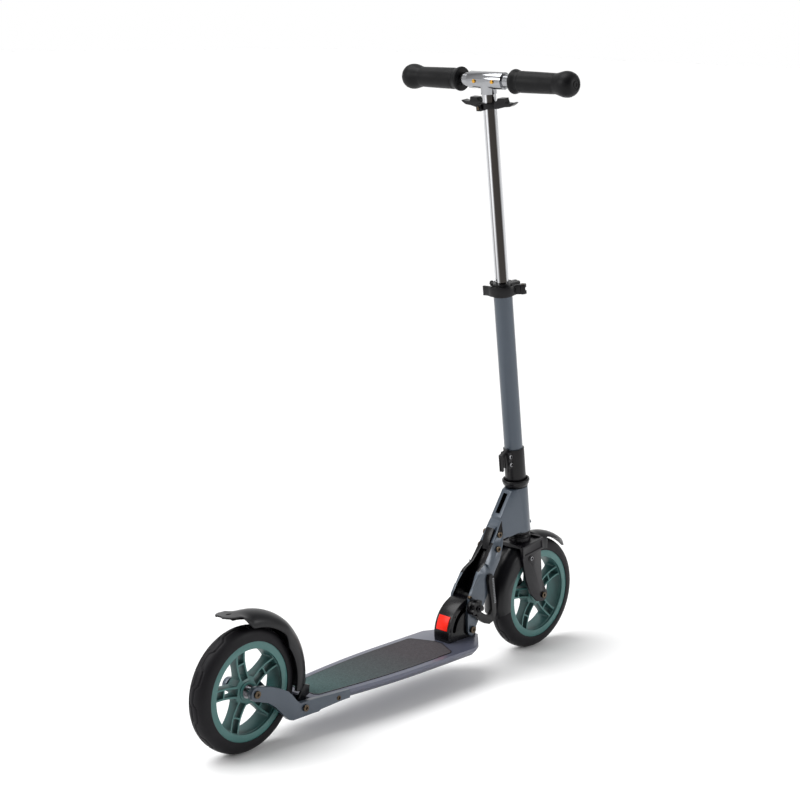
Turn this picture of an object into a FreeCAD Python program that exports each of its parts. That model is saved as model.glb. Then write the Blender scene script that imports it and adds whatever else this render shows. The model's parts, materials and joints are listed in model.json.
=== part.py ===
"""Kick scooter: folding, height-adjustable, two 200 mm wheels.

Frame: +X forwards, +Y to the rider's left, +Z up, millimetres. The origin lies on the
ground, midway between the two axles and on the scooter's plane of symmetry.
Pieces that turn with the handlebar are drawn in the column frame, whose Z axis is the
steering axis, measured from the point where it meets the ground, and then leaned back.
"""
import FreeCAD, Part
import math
import os

Vector = FreeCAD.Vector

# ------------------------------------------------------------ driving dimensions
wheel_base = 695.0
wheel_radius = 100.0
tyre_width = 36.0
tyre_height = 21.0           # rim flange to tread
deck_width = 120.0
deck_thickness = 15.0
deck_drop = 36.0             # deck top below the axles
block_width = 32.0           # fold block, across
block_radius = 56.0          # its outer arc, about the fold pivot
neck_reach = 184.0           # fold pivot to front axle, along the ground
column_lean = 8.5            # degrees, top towards the rider
fork_offset = 20.2           # front axle ahead of the steering axis
bar_height = 1013.0          # handlebar axis, along the steering axis from the ground
handlebar_width = 360.0
outer_tube_radius = 16.0
inner_tube_radius = 11.5
steerer_radius = 14.0
bar_radius = 11.0
head_length = 82.0
fold_travel = 78.0           # degrees

# ------------------------------------------------------------ fits and stock sizes
running_fit = 0.05           # radial clearance of a shaft that turns or slides
part_gap = 0.3               # clearance between faces of two moving bodies
face_gap = 0.2               # end play beside a bearing
axle_radius = 4.0
bearing_radius = 11.0        # 608 bearing
bearing_width = 7.0
hub_radius = 16.0
hub_half_width = 13.5
spoke_count = 5
rear_spoke_angle = 30.0
front_spoke_angle = 26.5

# ------------------------------------------------------------ places worked out
rear_x = -wheel_base / 2
front_x = wheel_base / 2
axle_z = wheel_radius
rim_radius = wheel_radius - tyre_height    # outer edge of the rim flange
deck_top = axle_z - deck_drop
deck_bottom = deck_top - deck_thickness
pivot_x = front_x - neck_reach
pivot_z = deck_top + 13.7
lean = math.radians(column_lean)
ground_x = front_x - fork_offset / math.cos(lean) + wheel_radius * math.tan(lean)
axle_station = wheel_radius * math.cos(lean) - (front_x - ground_x) * math.sin(lean)
crown_bottom = axle_station + wheel_radius + 4.0
crown_plate = 6.0
crown_top = crown_bottom + 11.0
head_bottom = crown_top + 12.0
head_top = head_bottom + head_length
collar_bottom = head_top + 4.5
collar_top = collar_bottom + 66.0
tube_top = head_top + 365.0
brake_x = rear_x + wheel_radius - 3.0
brake_z = deck_top - 10.0
deck_rear = rear_x + wheel_radius + 13.0
arm_front = rear_x + 185.0
deck_front = pivot_x + 20.0
skewer_angle = 93.8          # lock skewer, about the fold pivot, at rest
skewer_ring = 41.1           # its distance from the fold pivot
neck_half = block_width / 2 + 5.0
cheek_inner = block_width / 2 + part_gap


# ------------------------------------------------------------ drawing helpers
def across(radius, x, z, y_from, y_to):
    """A cylinder along Y."""
    return Part.makeCylinder(radius, y_to - y_from, Vector(x, y_from, z), Vector(0, 1, 0))


def upright(radius, x, y, z_from, z_to):
    """A cylinder along Z."""
    return Part.makeCylinder(radius, z_to - z_from, Vector(x, y, z_from))


def rod(radius, start, end):
    """A cylinder from one point to another."""
    run = end.sub(start)
    return Part.makeCylinder(radius, run.Length, start, run)


def block(x_range, y_range, z_range):
    """A box between pairs of coordinates."""
    corner = Vector(x_range[0], y_range[0], z_range[0])
    sizes = [pair[1] - pair[0] for pair in (x_range, y_range, z_range)]
    return Part.makeBox(sizes[0], sizes[1], sizes[2], corner)


def side_plate(points, y_from, y_to):
    """An outline of (x, z) points, extruded across."""
    corners = [Vector(x, y_from, z) for x, z in points]
    return Part.Face(Part.makePolygon(corners + corners[:1])).extrude(Vector(0, y_to - y_from, 0))


def plan_plate(points, z_from, z_to):
    """An outline of (x, y) points, extruded upwards."""
    corners = [Vector(x, y, z_from) for x, y in points]
    return Part.Face(Part.makePolygon(corners + corners[:1])).extrude(Vector(0, 0, z_to - z_from))


def rear_view_plate(points, x_from, x_to):
    """An outline of (y, z) points, extruded forwards."""
    corners = [Vector(x_from, y, z) for y, z in points]
    return Part.Face(Part.makePolygon(corners + corners[:1])).extrude(Vector(x_to - x_from, 0, 0))


def spline_edge(points):
    """A smooth edge through points."""
    curve = Part.BSplineCurve()
    curve.interpolate(points)
    return curve.toShape()


def line_edge(start, end):
    return Part.makeLine(start, end)


def wheel_spin(points, x, z, degrees=360.0, start=0.0):
    """A (y, radius) outline turned about an axle at (x, z); start is counted from +X towards +Z."""
    corners = [Vector(x + r, y, z) for y, r in points]
    face = Part.Face(Part.makePolygon(corners + corners[:1]))
    face.rotate(Vector(x, 0, z), Vector(0, -1, 0), start)
    return face.revolve(Vector(x, 0, z), Vector(0, -1, 0), degrees)


def column_spin(points):
    """A (radius, station) outline turned about the steering axis, in the column frame."""
    corners = [Vector(r, 0, s) for r, s in points]
    face = Part.Face(Part.makePolygon(corners + corners[:1]))
    return face.revolve(Vector(0, 0, 0), Vector(0, 0, 1), 360)


def column_tube(outer, inner, low, high):
    """A tube on the steering axis, in the column frame."""
    return upright(outer, 0, 0, low, high).cut(upright(inner, 0, 0, low, high))


def leaned(shape):
    """Moves a shape from the column frame to the scooter's frame."""
    placed = shape.copy()
    placed.rotate(Vector(0, 0, 0), Vector(0, 1, 0), -column_lean)
    placed.translate(Vector(ground_x, 0, 0))
    return placed


def mirrored(shape):
    """The same shape on the other side of the scooter."""
    return shape.mirror(Vector(0, 0, 0), Vector(0, 1, 0))


def both_sides(shape):
    return Part.makeCompound([shape, mirrored(shape)])


def fused(first, *others):
    return first.multiFuse(list(others)).removeSplitter()


def turned(shape, x, z, degrees):
    """Turns a shape about an axle at (x, z), from +X towards +Z."""
    copy = shape.copy()
    copy.rotate(Vector(x, 0, z), Vector(0, -1, 0), degrees)
    return copy


def about_pivot(points):
    """Points given from the fold pivot, in the scooter's frame."""
    return [(pivot_x + x, pivot_z + z) for x, z in points]


def ring_point(radius, degrees):
    angle = math.radians(degrees)
    return radius * math.cos(angle), radius * math.sin(angle)


def save(name, shape):
    """Writes one sub-part, after a check that all its solids are sound."""
    solids = shape.Solids
    if not solids or not all(solid.isValid() and solid.Volume > 0 for solid in solids):
        raise ValueError("unsound shape: " + name)
    Part.makeCompound(solids).exportStep("parts/" + name + ".step")
    print(name, len(solids), round(shape.Volume))


# ------------------------------------------------------------ wheels
rim_inner_radius = rim_radius - 12.0
tyre_seat_radius = rim_radius - 3.0
rim_half = tyre_width / 2 - 1.1
seat_half = rim_half - 3.0
spoke_half_width = 9.0
rib_thickness = 3.0


def dished_web():
    """The disc that the spokes are cut from: thin half-way out, thicker at hub and rim."""
    hub_edge, middle, rim_edge = 13.0, 43.0, rim_inner_radius + 1.0
    thick, thin = 13.0, 7.5
    face = []
    for side in (1, -1):
        face.append(Part.Arc(Vector(hub_edge, side * thick, 0), Vector(middle, side * thin, 0),
                             Vector(rim_edge, side * thick, 0)).toShape())
    ends = [line_edge(Vector(r, -thick, 0), Vector(r, thick, 0)) for r in (hub_edge, rim_edge)]
    outline = Part.Face(Part.Wire(Part.__sortEdges__(face + ends)))
    return outline.revolve(Vector(0, 0, 0), Vector(0, 1, 0), 360)


def spoke_window():
    """The rounded opening between two neighbouring spokes, centred on +X."""
    half_step = 180.0 / spoke_count
    apex = spoke_half_width / math.sin(math.radians(half_step))
    far = 2 * rim_radius
    spread = far * math.tan(math.radians(half_step))
    wedge = side_plate([(apex, 0), (apex + far, spread), (apex + far, -spread)], -20, 20)
    window = wedge.common(across(rim_inner_radius - 0.5, 0, 0, -20, 20))
    window = window.cut(across(hub_radius + 7.0, 0, 0, -20, 20))
    corners = [edge for edge in window.Edges if abs(edge.Length - 40) < 0.01]
    return window.makeFillet(2.5, corners)


def spoke_pockets():
    """The two slots between the ribs of one spoke, along +X."""
    half = spoke_half_width - rib_thickness
    bridge_radius, bridge = 44.0, 1.25
    inner = block((hub_radius + 3, bridge_radius - bridge), (-20, 20), (-half, half))
    outer = block((bridge_radius + bridge, rim_inner_radius - 0.8), (-20, 20), (-half, half))
    return [inner, outer]


def make_rim(x, spoke_angle):
    """Cast rim: flanged barrel, dished web of five twin-rib spokes, and a hub bored for bearings."""
    barrel = wheel_spin([(-rim_half, rim_inner_radius), (rim_half, rim_inner_radius),
                         (rim_half, rim_radius), (seat_half, rim_radius),
                         (seat_half, tyre_seat_radius), (-seat_half, tyre_seat_radius),
                         (-seat_half, rim_radius), (-rim_half, rim_radius)], 0, 0)
    web = dished_web()
    for index in range(spoke_count):
        step = 360.0 / spoke_count
        for pocket in spoke_pockets():
            web = web.cut(turned(pocket, 0, 0, spoke_angle + index * step))
        web = web.cut(turned(spoke_window(), 0, 0, spoke_angle + (index + 0.5) * step))
    hub = across(hub_radius, 0, 0, -hub_half_width, hub_half_width)
    rim = fused(barrel, web, hub)
    rim = rim.cut(across(bearing_radius - 2.5, 0, 0, -20, 20))
    for side in (-1, 1):
        seat_end = side * hub_half_width
        seat = sorted((seat_end, seat_end - side * bearing_width))
        rim = rim.cut(across(bearing_radius, 0, 0, seat[0], seat[1]))
    rim.translate(Vector(x, 0, axle_z))
    return rim


def make_tyre(x):
    """Cast polyurethane tyre with round shoulders, seated between the rim's flanges."""
    half = tyre_width / 2
    shoulder = wheel_radius - 5.5
    crown = Part.Arc(Vector(0, -half + 4.5, shoulder + 1.0), Vector(0, 0, wheel_radius),
                     Vector(0, half - 4.5, shoulder + 1.0)).toShape()
    walls = []
    for side in (-1, 1):
        walls.append(Part.Arc(Vector(0, side * (half - 4.5), shoulder + 1.0),
                              Vector(0, side * (half - 0.6), shoulder - 5.0),
                              Vector(0, side * half, shoulder - 11.5)).toShape())
    base = [(half, shoulder - 11.5), (half - 0.5, rim_radius), (seat_half, rim_radius),
            (seat_half, tyre_seat_radius)]
    right = [Vector(0, y, r) for y, r in base]
    left = [Vector(0, -y, r) for y, r in base]
    edges = [crown] + walls + [line_edge(right[-1], left[-1])]
    for chain in (right, left):
        edges += [line_edge(a, b) for a, b in zip(chain, chain[1:])]
    outline = Part.Face(Part.Wire(Part.__sortEdges__(edges)))
    tyre = outline.revolve(Vector(0, 0, 0), Vector(0, 1, 0), 360)
    tyre.translate(Vector(x, 0, axle_z))
    return tyre


def make_bearings(x):
    ring = across(bearing_radius, x, axle_z, hub_half_width - bearing_width, hub_half_width)
    ring = ring.cut(across(axle_radius + running_fit, x, axle_z, 0, 20))
    return both_sides(ring)


def make_bearing_sleeve(x):
    """Distance sleeve on the axle, between the two bearings."""
    end = hub_half_width - bearing_width
    sleeve = across(6.0, x, axle_z, -end, end)
    return sleeve.cut(across(axle_radius + running_fit, x, axle_z, -end, end))


def make_wheel(name, x, spoke_angle):
    save(name + "_rim", make_rim(x, spoke_angle))
    save(name + "_tyre", make_tyre(x))
    save(name + "_wheel_bearings", make_bearings(x))
    save(name + "_bearing_sleeve", make_bearing_sleeve(x))


def make_axle(x, z, half, radius, head_radius):
    """A through bolt with a socket head on the right and a domed nut on the left."""
    head = 3.0
    shank = across(radius, x, z, -half - head, half + head)
    ends = [across(head_radius, x, z, -half - head, -half), across(head_radius, x, z, half, half + head)]
    bolt = fused(shank, *ends)
    return bolt.cut(across(radius * 0.55, x, z, -half - head, -half - head + 2.2))


def make_spacers(x, half):
    spacer = across(7.0, x, axle_z, hub_half_width + face_gap, half)
    return both_sides(spacer.cut(across(axle_radius, x, axle_z, 0, 40)))


# ------------------------------------------------------------ deck and rear arms
arm_inner_half = 25.0
arm_outer_half = 33.0
arm_wall = 7.5
axle_boss = 11.5
arm_screw_x = rear_x + 163.0
arm_screw_z = deck_top - 9.5


def deck_half_width(x):
    """Half the deck's width: full amidships, narrower towards the rear wheel."""
    narrow, wide = 0.66 * deck_width / 2, deck_width / 2
    start, full = deck_rear, rear_x + 357.0
    share = min(max((x - start) / (full - start), 0.0), 1.0)
    return narrow + (wide - narrow) * math.sin(share * math.pi / 2)


def deck_outline(inset):
    """Plan of the deck, less an inset all round."""
    steps = 14
    side_end = pivot_x - 36.0
    stations = [deck_rear + (side_end - deck_rear) * i / steps for i in range(steps + 1)]
    side = [(x, deck_half_width(x) - inset) for x in stations]
    side[0] = (deck_rear, side[0][1])
    nose = [(pivot_x - 18.0, deck_half_width(side_end) - 9.0 - inset),
            (deck_front - inset, 17.0 - inset / 2)]
    left = side + nose
    return left + [(x, -y) for x, y in reversed(left)]


def deck_blank():
    """Top slab with sides that taper in below it."""
    slab_bottom = deck_top - 6.0
    slab = plan_plate(deck_outline(0.0), slab_bottom, deck_top)
    sections = []
    for inset, z in ((0.0, slab_bottom), (8.0, deck_bottom)):
        corners = [Vector(x, y, z) for x, y in deck_outline(inset)]
        sections.append(Part.makePolygon(corners + corners[:1]))
    return fused(slab, Part.makeLoft(sections, True, True))


def make_deck(cutters):
    """Aluminium extrusion with three hollow chambers, open at the rear."""
    deck = deck_blank()
    chamber_top, chamber_bottom = deck_top - 2.5, deck_bottom + 2.5
    chamber_end = pivot_x - block_radius - 12.0
    for low, high in ((-24.0, -9.0), (-7.0, 7.0), (9.0, 24.0)):
        deck = deck.cut(block((deck_rear - 1, chamber_end), (low, high), (chamber_bottom, chamber_top)))
    for cutter in cutters:
        deck = deck.cut(cutter)
    return deck


def make_grip_tape():
    """Anti-slip sheet on the deck, narrower towards the rear, with a curved front end."""
    thickness = 1.0
    rear, corner, tip = deck_rear + 15.0, pivot_x - 87.0, pivot_x - 60.0
    margin = 11.0
    stations = [rear + 6.0 + (corner - rear - 6.0) * i / 10 for i in range(11)]
    side = [(x, deck_half_width(x) - margin) for x in stations]
    start = [(rear, side[0][1] - 7.0)]
    front = [(corner + 6.0, side[-1][1] - 3.0), (tip - 9.0, 0.45 * side[-1][1]), (tip - 2.0, 8.0)]
    left = start + side + front
    return plan_plate(left + [(x, -y) for x, y in reversed(left)], deck_top, deck_top + thickness)


def arm_side_view():
    """Side outline of a rear arm: axle boss, drop to the deck, and a long foot along its side."""
    boss = [ring_point(axle_boss, a) for a in range(70, 285, 20)]
    top = [(28, 5), (48, -3), (63, -11), (72, -20), (79, -29), (87, -deck_drop)]
    upper = [(rear_x + x, axle_z + z) for x, z in reversed(top)]
    around = [(rear_x + x, axle_z + z) for x, z in boss]
    low = [(24, -20), (38, -30), (48, -40), (58, -51), (65, -58), (73, -60.5)]
    lower = [(rear_x + x, axle_z + z) for x, z in low]
    foot = [(rear_x + 123, deck_top - 22.5), (rear_x + 128, deck_top - 20.0),
            (rear_x + 168, deck_top - 15.0), (arm_front, deck_top - 14.0), (arm_front, deck_top)]
    return upper + around + lower + foot


def arm_stations():
    return [deck_rear + (arm_front - deck_rear) * i / 4 for i in range(5)]


def arm_room():
    """The left arm's room in the deck: its side view, from its inner face outwards."""
    inner = [(rear_x - 20, arm_inner_half), (rear_x + 45, arm_inner_half), (rear_x + 80, arm_inner_half + 3.5)]
    inner += [(x, deck_half_width(x) - arm_wall) for x in arm_stations()]
    beyond = [(arm_front, deck_width), (rear_x - 20, deck_width)]
    room = plan_plate(inner + beyond, 0, 2 * axle_z)
    return room.common(side_plate(arm_side_view(), 0, deck_width))


def arm_blank():
    """The left arm: straight beside the wheel, then out to the deck's side."""
    outer = [(rear_x - 20, arm_outer_half), (rear_x + 45, arm_outer_half + 1.0),
             (rear_x + 75, arm_outer_half + 4.0)]
    outer += [(x, deck_half_width(x)) for x in arm_stations()]
    within = plan_plate([(rear_x - 20, 0)] + outer + [(arm_front, 0)], 0, 2 * axle_z)
    return arm_room().common(within)


def make_brake_pivot():
    """Pin across both arms that carries the rear mudguard."""
    half = arm_outer_half + 6.2
    pin = across(3.0, brake_x, brake_z, -half, half)
    heads = [across(5.5, brake_x, brake_z, -half - 2.0, -half), across(5.5, brake_x, brake_z, half, half + 2.0)]
    pin = fused(pin, *heads)
    return pin.cut(across(2.2, brake_x, brake_z, -half - 2.0, -half - 0.4))


def arm_screw_blanks():
    """One screw a side, through the arm's foot into the deck."""
    outer = deck_half_width(arm_screw_x)
    screw = across(2.5, arm_screw_x, arm_screw_z, outer - 18, outer - 1.0)
    head = across(4.0, arm_screw_x, arm_screw_z, outer - 3.0, outer + 0.6)
    return both_sides(fused(screw, head))


def make_arm_screws():
    outer = deck_half_width(arm_screw_x)
    socket = across(1.8, arm_screw_x, arm_screw_z, outer - 1.4, outer + 1.0)
    return arm_screw_blanks().cut(both_sides(socket))


# ------------------------------------------------------------ rear mudguard brake
guard_crown = wheel_radius + 22.0
guard_half = 23.5
guard_wall = 2.5
guard_tail_angle = 96.0
guard_foot_angle = -13.0


def arch(crown, half, wall, skirt):
    """(y, radius) outline of a mudguard: rounded crown and two skirts."""
    drop = 14.0
    outer, inner = [], []
    for step in range(13):
        angle = math.pi * step / 12
        y, lift = math.cos(angle), math.sin(angle)
        outer.append((half * y, crown - drop + drop * lift))
        inner.append(((half - wall) * y, crown - drop + (drop - wall) * lift))
    return [(half, skirt)] + outer + [(-half, skirt), (-half + wall, skirt)] + inner[::-1] + [(half - wall, skirt)]


def make_rear_guard(cutters):
    """Mudguard over the rear wheel; its tail is the foot brake."""
    span = guard_tail_angle - guard_foot_angle
    shell = wheel_spin(arch(guard_crown, guard_half, guard_wall, wheel_radius - 8.0),
                       rear_x, axle_z, span, guard_foot_angle)
    relief = across(wheel_radius + 2.0, rear_x, axle_z, -40, 40)
    relief = relief.common(side_plate([(rear_x - 60, axle_z), (rear_x + 40, axle_z),
                                       (rear_x + 75, axle_z + 75), (rear_x + 40, axle_z + 130),
                                       (rear_x - 60, axle_z + 130)], -40, 40))
    shell = shell.cut(relief)
    z = axle_z + guard_crown
    tail_side = side_plate([(rear_x + 4, z), (rear_x - 20, z - 0.6), (rear_x - 45, z + 2.2),
                            (rear_x - 45, z - 0.3), (rear_x - 20, z - 3.4), (rear_x + 4, z - 2.6)], -30, 30)
    plan = [(rear_x + 4, -19), (rear_x - 16, -18)]
    plan += [(rear_x - 26 + 19 * math.cos(a), 17 * math.sin(a))
             for a in [math.radians(d) for d in range(260, 99, -20)]]
    plan += [(rear_x - 16, 18), (rear_x + 4, 19)]
    tail = tail_side.common(plan_plate(plan, z - 20, z + 20))
    tail = tail.cut(block((rear_x - 33, rear_x - 22), (-2.5, 2.5), (z - 10, z + 10)))
    lug_outline = [(brake_x - 6.5, brake_z - 4), (brake_x, brake_z - 7), (brake_x + 7, brake_z - 4),
                   (deck_rear - 1.5, deck_top - 4), (deck_rear - 1.5, deck_top + 1.5),
                   (deck_rear + 5, deck_top + 4), (deck_rear + 6.5, deck_top + 18),
                   (deck_rear - 5, deck_top + 22), (brake_x - 6.5, brake_z + 5)]
    lug = side_plate(lug_outline, guard_half - guard_wall, guard_half + 1.0)
    guard = fused(shell, tail, lug, mirrored(lug))
    guard = guard.cut(across(3.0 + running_fit, brake_x, brake_z, -30, 30))
    for cutter in cutters:
        guard = guard.cut(cutter)
    return guard


def brake_plate_blank():
    """Steel wear plate under the crown, curved with it."""
    outline = [(-9.0, guard_crown - guard_wall - 1.6), (9.0, guard_crown - guard_wall - 1.6),
               (9.0, guard_crown - guard_wall - 4.0), (-9.0, guard_crown - guard_wall - 4.0)]
    return wheel_spin(outline, rear_x, axle_z, 34.0, 46.0)


def make_rivet():
    """Rivet through the crown that holds the wear plate."""
    angle = 63.0
    low, high = guard_crown - guard_wall - 3.8, guard_crown + 1.8
    ends = [Vector(rear_x + x, 0, axle_z + z) for x, z in (ring_point(low, angle), ring_point(high, angle))]
    top = Vector(rear_x + ring_point(guard_crown - 0.1, angle)[0], 0, axle_z + ring_point(guard_crown - 0.1, angle)[1])
    return fused(rod(2.0, ends[0], ends[1]), rod(3.6, top, ends[1]))


def make_brake_spring():
    """Torsion spring on the brake pin; it lifts the mudguard off the tyre."""
    wire, mean, length = 0.6, 4.3, 12.0
    helix = Part.makeHelix(1.7, length, mean)
    helix.rotate(Vector(0, 0, 0), Vector(1, 0, 0), -90)
    helix.translate(Vector(brake_x, -length / 2, brake_z))
    start = helix.Vertexes[0].Point
    profile = Part.Wire(Part.makeCircle(wire, start, Vector(0, 0, 1)))
    return Part.Wire(helix).makePipeShell([profile], True, True)


# ------------------------------------------------------------ fold block
def block_blank():
    """Side plates and arc of the block that the neck folds round."""
    arc_start, arc_end = 180.0 + math.degrees(math.asin((pivot_z - deck_top) / block_radius)), 88.0
    steps = 16
    arc = [ring_point(block_radius, arc_start + (arc_end - arc_start) * i / steps) for i in range(steps + 1)]
    front = [(11.0, block_radius - 10.0), (15.0, 12.0), (15.0, deck_top - pivot_z)]
    return side_plate(about_pivot(arc + front), -block_width / 2, block_width / 2)


def skewer_place():
    x, z = ring_point(skewer_ring, skewer_angle)
    return pivot_x + x, pivot_z + z


def make_arc_slot():
    """The slot that the lock skewer runs along as the neck folds."""
    half = 4.0 + part_gap
    steps = 14
    angles = [skewer_angle + fold_travel * i / steps for i in range(steps + 1)]
    outer = [ring_point(skewer_ring + half, a) for a in angles]
    inner = [ring_point(skewer_ring - half, a) for a in reversed(angles)]
    slot = side_plate(about_pivot(outer + inner), -30, 30)
    ends = []
    for angle in (angles[0], angles[-1]):
        (x, z), = about_pivot([ring_point(skewer_ring, angle)])
        ends.append(across(half + 0.05, x, z, -30, 30))
    return slot.multiFuse(ends)


def make_fold_block(cutters):
    solid = block_blank().cut(make_arc_slot())
    (x, z), = about_pivot([ring_point(49.5, 143.0)])
    dimple = across(1.6, x, z, -block_width / 2, -block_width / 2 + 2.0)
    solid = solid.cut(dimple).cut(mirrored(dimple))
    for cutter in cutters:
        solid = solid.cut(cutter)
    return solid


def make_reflector():
    """Plain red reflector let into the block's rear arc."""
    plate = wheel_spin([(-12, block_radius - 1.5), (12, block_radius - 1.5), (12, block_radius + 0.6),
                        (-12, block_radius + 0.6)], pivot_x, pivot_z, 26.0, 147.0)
    return plate


def make_block_bolts():
    """Four bolts from under the deck, and one socket screw in each side of the block."""
    shapes = []
    for x in (pivot_x - 44.0, pivot_x - 18.0):
        for y in (-10.0, 10.0):
            shapes.append(fused(upright(2.5, x, y, deck_bottom - 0.5, deck_top + 6.0),
                                upright(4.5, x, y, deck_bottom - 1.5, deck_bottom + 1.0)))
    side_x, side_z = pivot_x - 50.3, pivot_z + 7.5
    half = block_width / 2
    screw = fused(across(1.5, side_x, side_z, -half + 1, -half + 9),
                  across(2.8, side_x, side_z, -half - 0.1, -half + 1.5))
    return Part.makeCompound(shapes + [screw, mirrored(screw)])


def make_pivot_bolt():
    """Fold pivot: a bolt through both cheeks and the block."""
    half = neck_half + part_gap
    bolt = fused(across(4.0, pivot_x, pivot_z, -half - 3.5, half + 3.5),
                 across(6.0, pivot_x, pivot_z, -half - 3.5, -half),
                 across(6.5, pivot_x, pivot_z, half, half + 3.5))
    return bolt.cut(across(2.5, pivot_x, pivot_z, -half - 3.5, -half - 1.2))


# ------------------------------------------------------------ neck
neck_rear = [(-12, 20), (-12, 36), (-9.5, 57), (0.5, 73.5), (12, 91), (17.5, 97.5), (35, 108.5),
             (57.6, 140), (81, 176)]
neck_front = [(79, 147), (69, 110), (55, 89), (37, 52), (22, 24), (10.5, 4)]
cheek_end = 11.0
tongue = [(83, 168), (66, 163), (57, 146), (52, 128), (60, 117), (70, 124), (83, 151)]
neck_bolts = [(72.5, 152.0, 18.0), (64.5, 129.0, neck_half + 1.5)]    # place, and half the length


def neck_side_view():
    end = [ring_point(cheek_end, a) for a in range(-20, -181, -20)]
    return about_pivot(end + neck_rear + neck_front)


def rear_edge_chamfer(lower, upper, lower_cut, upper_cut):
    """Takes the left outer corner off the neck along one stretch of its rear edge."""
    run = Vector(upper[0] - lower[0], 0, upper[1] - lower[1])
    inward = Vector(run.z, 0, -run.x).normalize()
    sections = []
    for (x, z), (depth, cut) in ((lower, lower_cut), (upper, upper_cut)):
        corner = Vector(pivot_x + x, neck_half, pivot_z + z)
        corners = [corner + inward * depth, corner + Vector(0, -cut, 0), corner - inward * 9 + Vector(0, 9, 0)]
        sections.append(Part.makePolygon(corners + corners[:1]))
    return Part.makeLoft(sections, True, True)


def tongue_blank(half):
    return side_plate(about_pivot(tongue), -half, half)


def make_neck_bolts():
    """Two bolts through the cheeks and the head casting's tongue, each with a head at both ends."""
    shapes = []
    for place_x, place_z, reach in neck_bolts:
        (x, z), = about_pivot([(place_x, place_z)])
        bolt = fused(across(3.0, x, z, -reach, reach), across(5.2, x, z, -reach, -reach + 3.0),
                     across(5.2, x, z, reach - 3.0, reach))
        shapes.append(bolt.cut(across(2.2, x, z, -reach, -reach + 1.5)))
    return Part.makeCompound(shapes)


def make_neck_arm(cutters):
    """Forked arm: two cheeks round the fold block, closing to a bolted socket at the head."""
    arm = side_plate(neck_side_view(), -neck_half, neck_half)
    clear = across(block_radius + 1.5, pivot_x, pivot_z, -cheek_inner, cheek_inner)
    below = block((pivot_x - 80, pivot_x + 80), (-cheek_inner, cheek_inner), (pivot_z - 40, pivot_z + 20))
    arm = arm.cut(clear).cut(below)
    opening = rear_view_plate([(y, pivot_z + z) for y, z in
                               ((-cheek_inner, 40), (cheek_inner, 40), (cheek_inner, 76),
                                (9.5, 112), (4.5, 146), (-4.5, 146), (-9.5, 112), (-cheek_inner, 76))],
                              pivot_x - 60, pivot_x + 90)
    behind_web = side_plate(about_pivot([(-60, 30), (20, 47), (40, 90), (47, 106), (63, 138), (76, 158),
                                         (60, 200), (-60, 200)]), -40, 40)
    arm = arm.cut(opening.common(behind_web))
    for lower, upper, low_cut, high_cut in (((0.5, 73.5), (17.5, 97.5), (4, 1.5), (8, 3)),
                                            ((17.5, 97.5), (35, 108.5), (8, 3), (14, 5)),
                                            ((35, 108.5), (81, 176), (14, 5), (24, 8.5))):
        wedge = rear_edge_chamfer(lower, upper, low_cut, high_cut)
        arm = arm.cut(wedge).cut(mirrored(wedge))
    arm = arm.cut(across(4.0 + running_fit, pivot_x, pivot_z, -40, 40))
    for cutter in cutters:
        arm = arm.cut(cutter)
    return arm


def make_head_tube(cutters):
    """Head casting: bearing tube, a web that tapers to the rear, and a tongue for the neck."""
    head_radius = 20.0
    tube = upright(head_radius, 0, 0, head_bottom, head_top)
    sections = []
    for station, rear in ((head_bottom, -99.0), (head_top, -25.0)):
        corners = [Vector(0, 19.8, station), Vector(rear, 10.5, station), Vector(rear, -10.5, station),
                   Vector(0, -19.8, station)]
        sections.append(Part.makePolygon(corners + corners[:1]))
    web = leaned(Part.makeLoft(sections, True, True))
    seam = about_pivot([(80.5, 178), (78.5, 147), (84, 143), (104, 143), (128, 147), (150, 140),
                        (170, 150), (170, 250), (90, 250), (80, 200)])
    web = web.common(side_plate(seam, -40, 40))
    head = fused(leaned(tube), web, tongue_blank(8.0))
    slot_top, slot_bottom = (107.5, 224.0), (87.0, 196.0)
    slot = side_plate(about_pivot([slot_top, slot_bottom, (slot_bottom[0] - 20, slot_bottom[1] + 12),
                                   (slot_top[0] - 20, slot_top[1] + 12)]), -3.5, 3.5)
    head = head.cut(slot)
    head = head.fuse(make_front_stud())
    for low, high, radius in ((head_bottom - 1, head_top + 1, 14.6), (head_bottom - 1, head_bottom + 8, 18.0),
                              (head_top - 8, head_top + 1, 18.0)):
        head = head.cut(leaned(upright(radius, 0, 0, low, high)))
    for cutter in cutters:
        head = head.cut(cutter)
    return head


def make_headset_bearings():
    shapes = []
    for low in (head_bottom + 0.5, head_top - 8):
        shapes.append(leaned(column_tube(18.0, 14.0 + running_fit, low, low + 7.5)))
    return Part.makeCompound(shapes)


def make_front_stud():
    """Small stud on the front of the head tube, to hang a bag from."""
    station = head_bottom + 5.0
    stud = fused(rod(2.2, Vector(18.5, 0, station), Vector(30, 0, station)),
                 rod(3.4, Vector(27.5, 0, station), Vector(30, 0, station)))
    return leaned(stud)


def make_skewer():
    """Lock skewer: through cheeks and slot, nut on the left, end screw on the right."""
    x, z = skewer_place()
    half = neck_half
    shaft = across(4.0, x, z, -half - 17.2, half + 6.0)
    nut = across(8.0, x, z, half, half + 6.0)
    cap = across(5.0, x, z, -half - 17.2, -half - 15.6)
    return fused(shaft, nut, cap).cut(across(2.2, x, z, -half - 17.2, -half - 14.5))


def make_knob():
    """Five-lobed adjusting knob on the skewer."""
    x, z = skewer_place()
    start, end = -neck_half - 15.4, -neck_half - 6.6
    lobes = []
    for index in range(5):
        dx, dz = ring_point(10.6, 62.0 + 72.0 * index)
        lobes.append(across(4.4, x + dx, z + dz, start, end))
    knob = fused(across(10.0, x, z, start, end), *lobes)
    knob = knob.cut(across(6.5, x, z, start, start + 2.2))
    return knob.cut(across(4.0 + running_fit, x, z, start - 1, end + 1))


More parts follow.
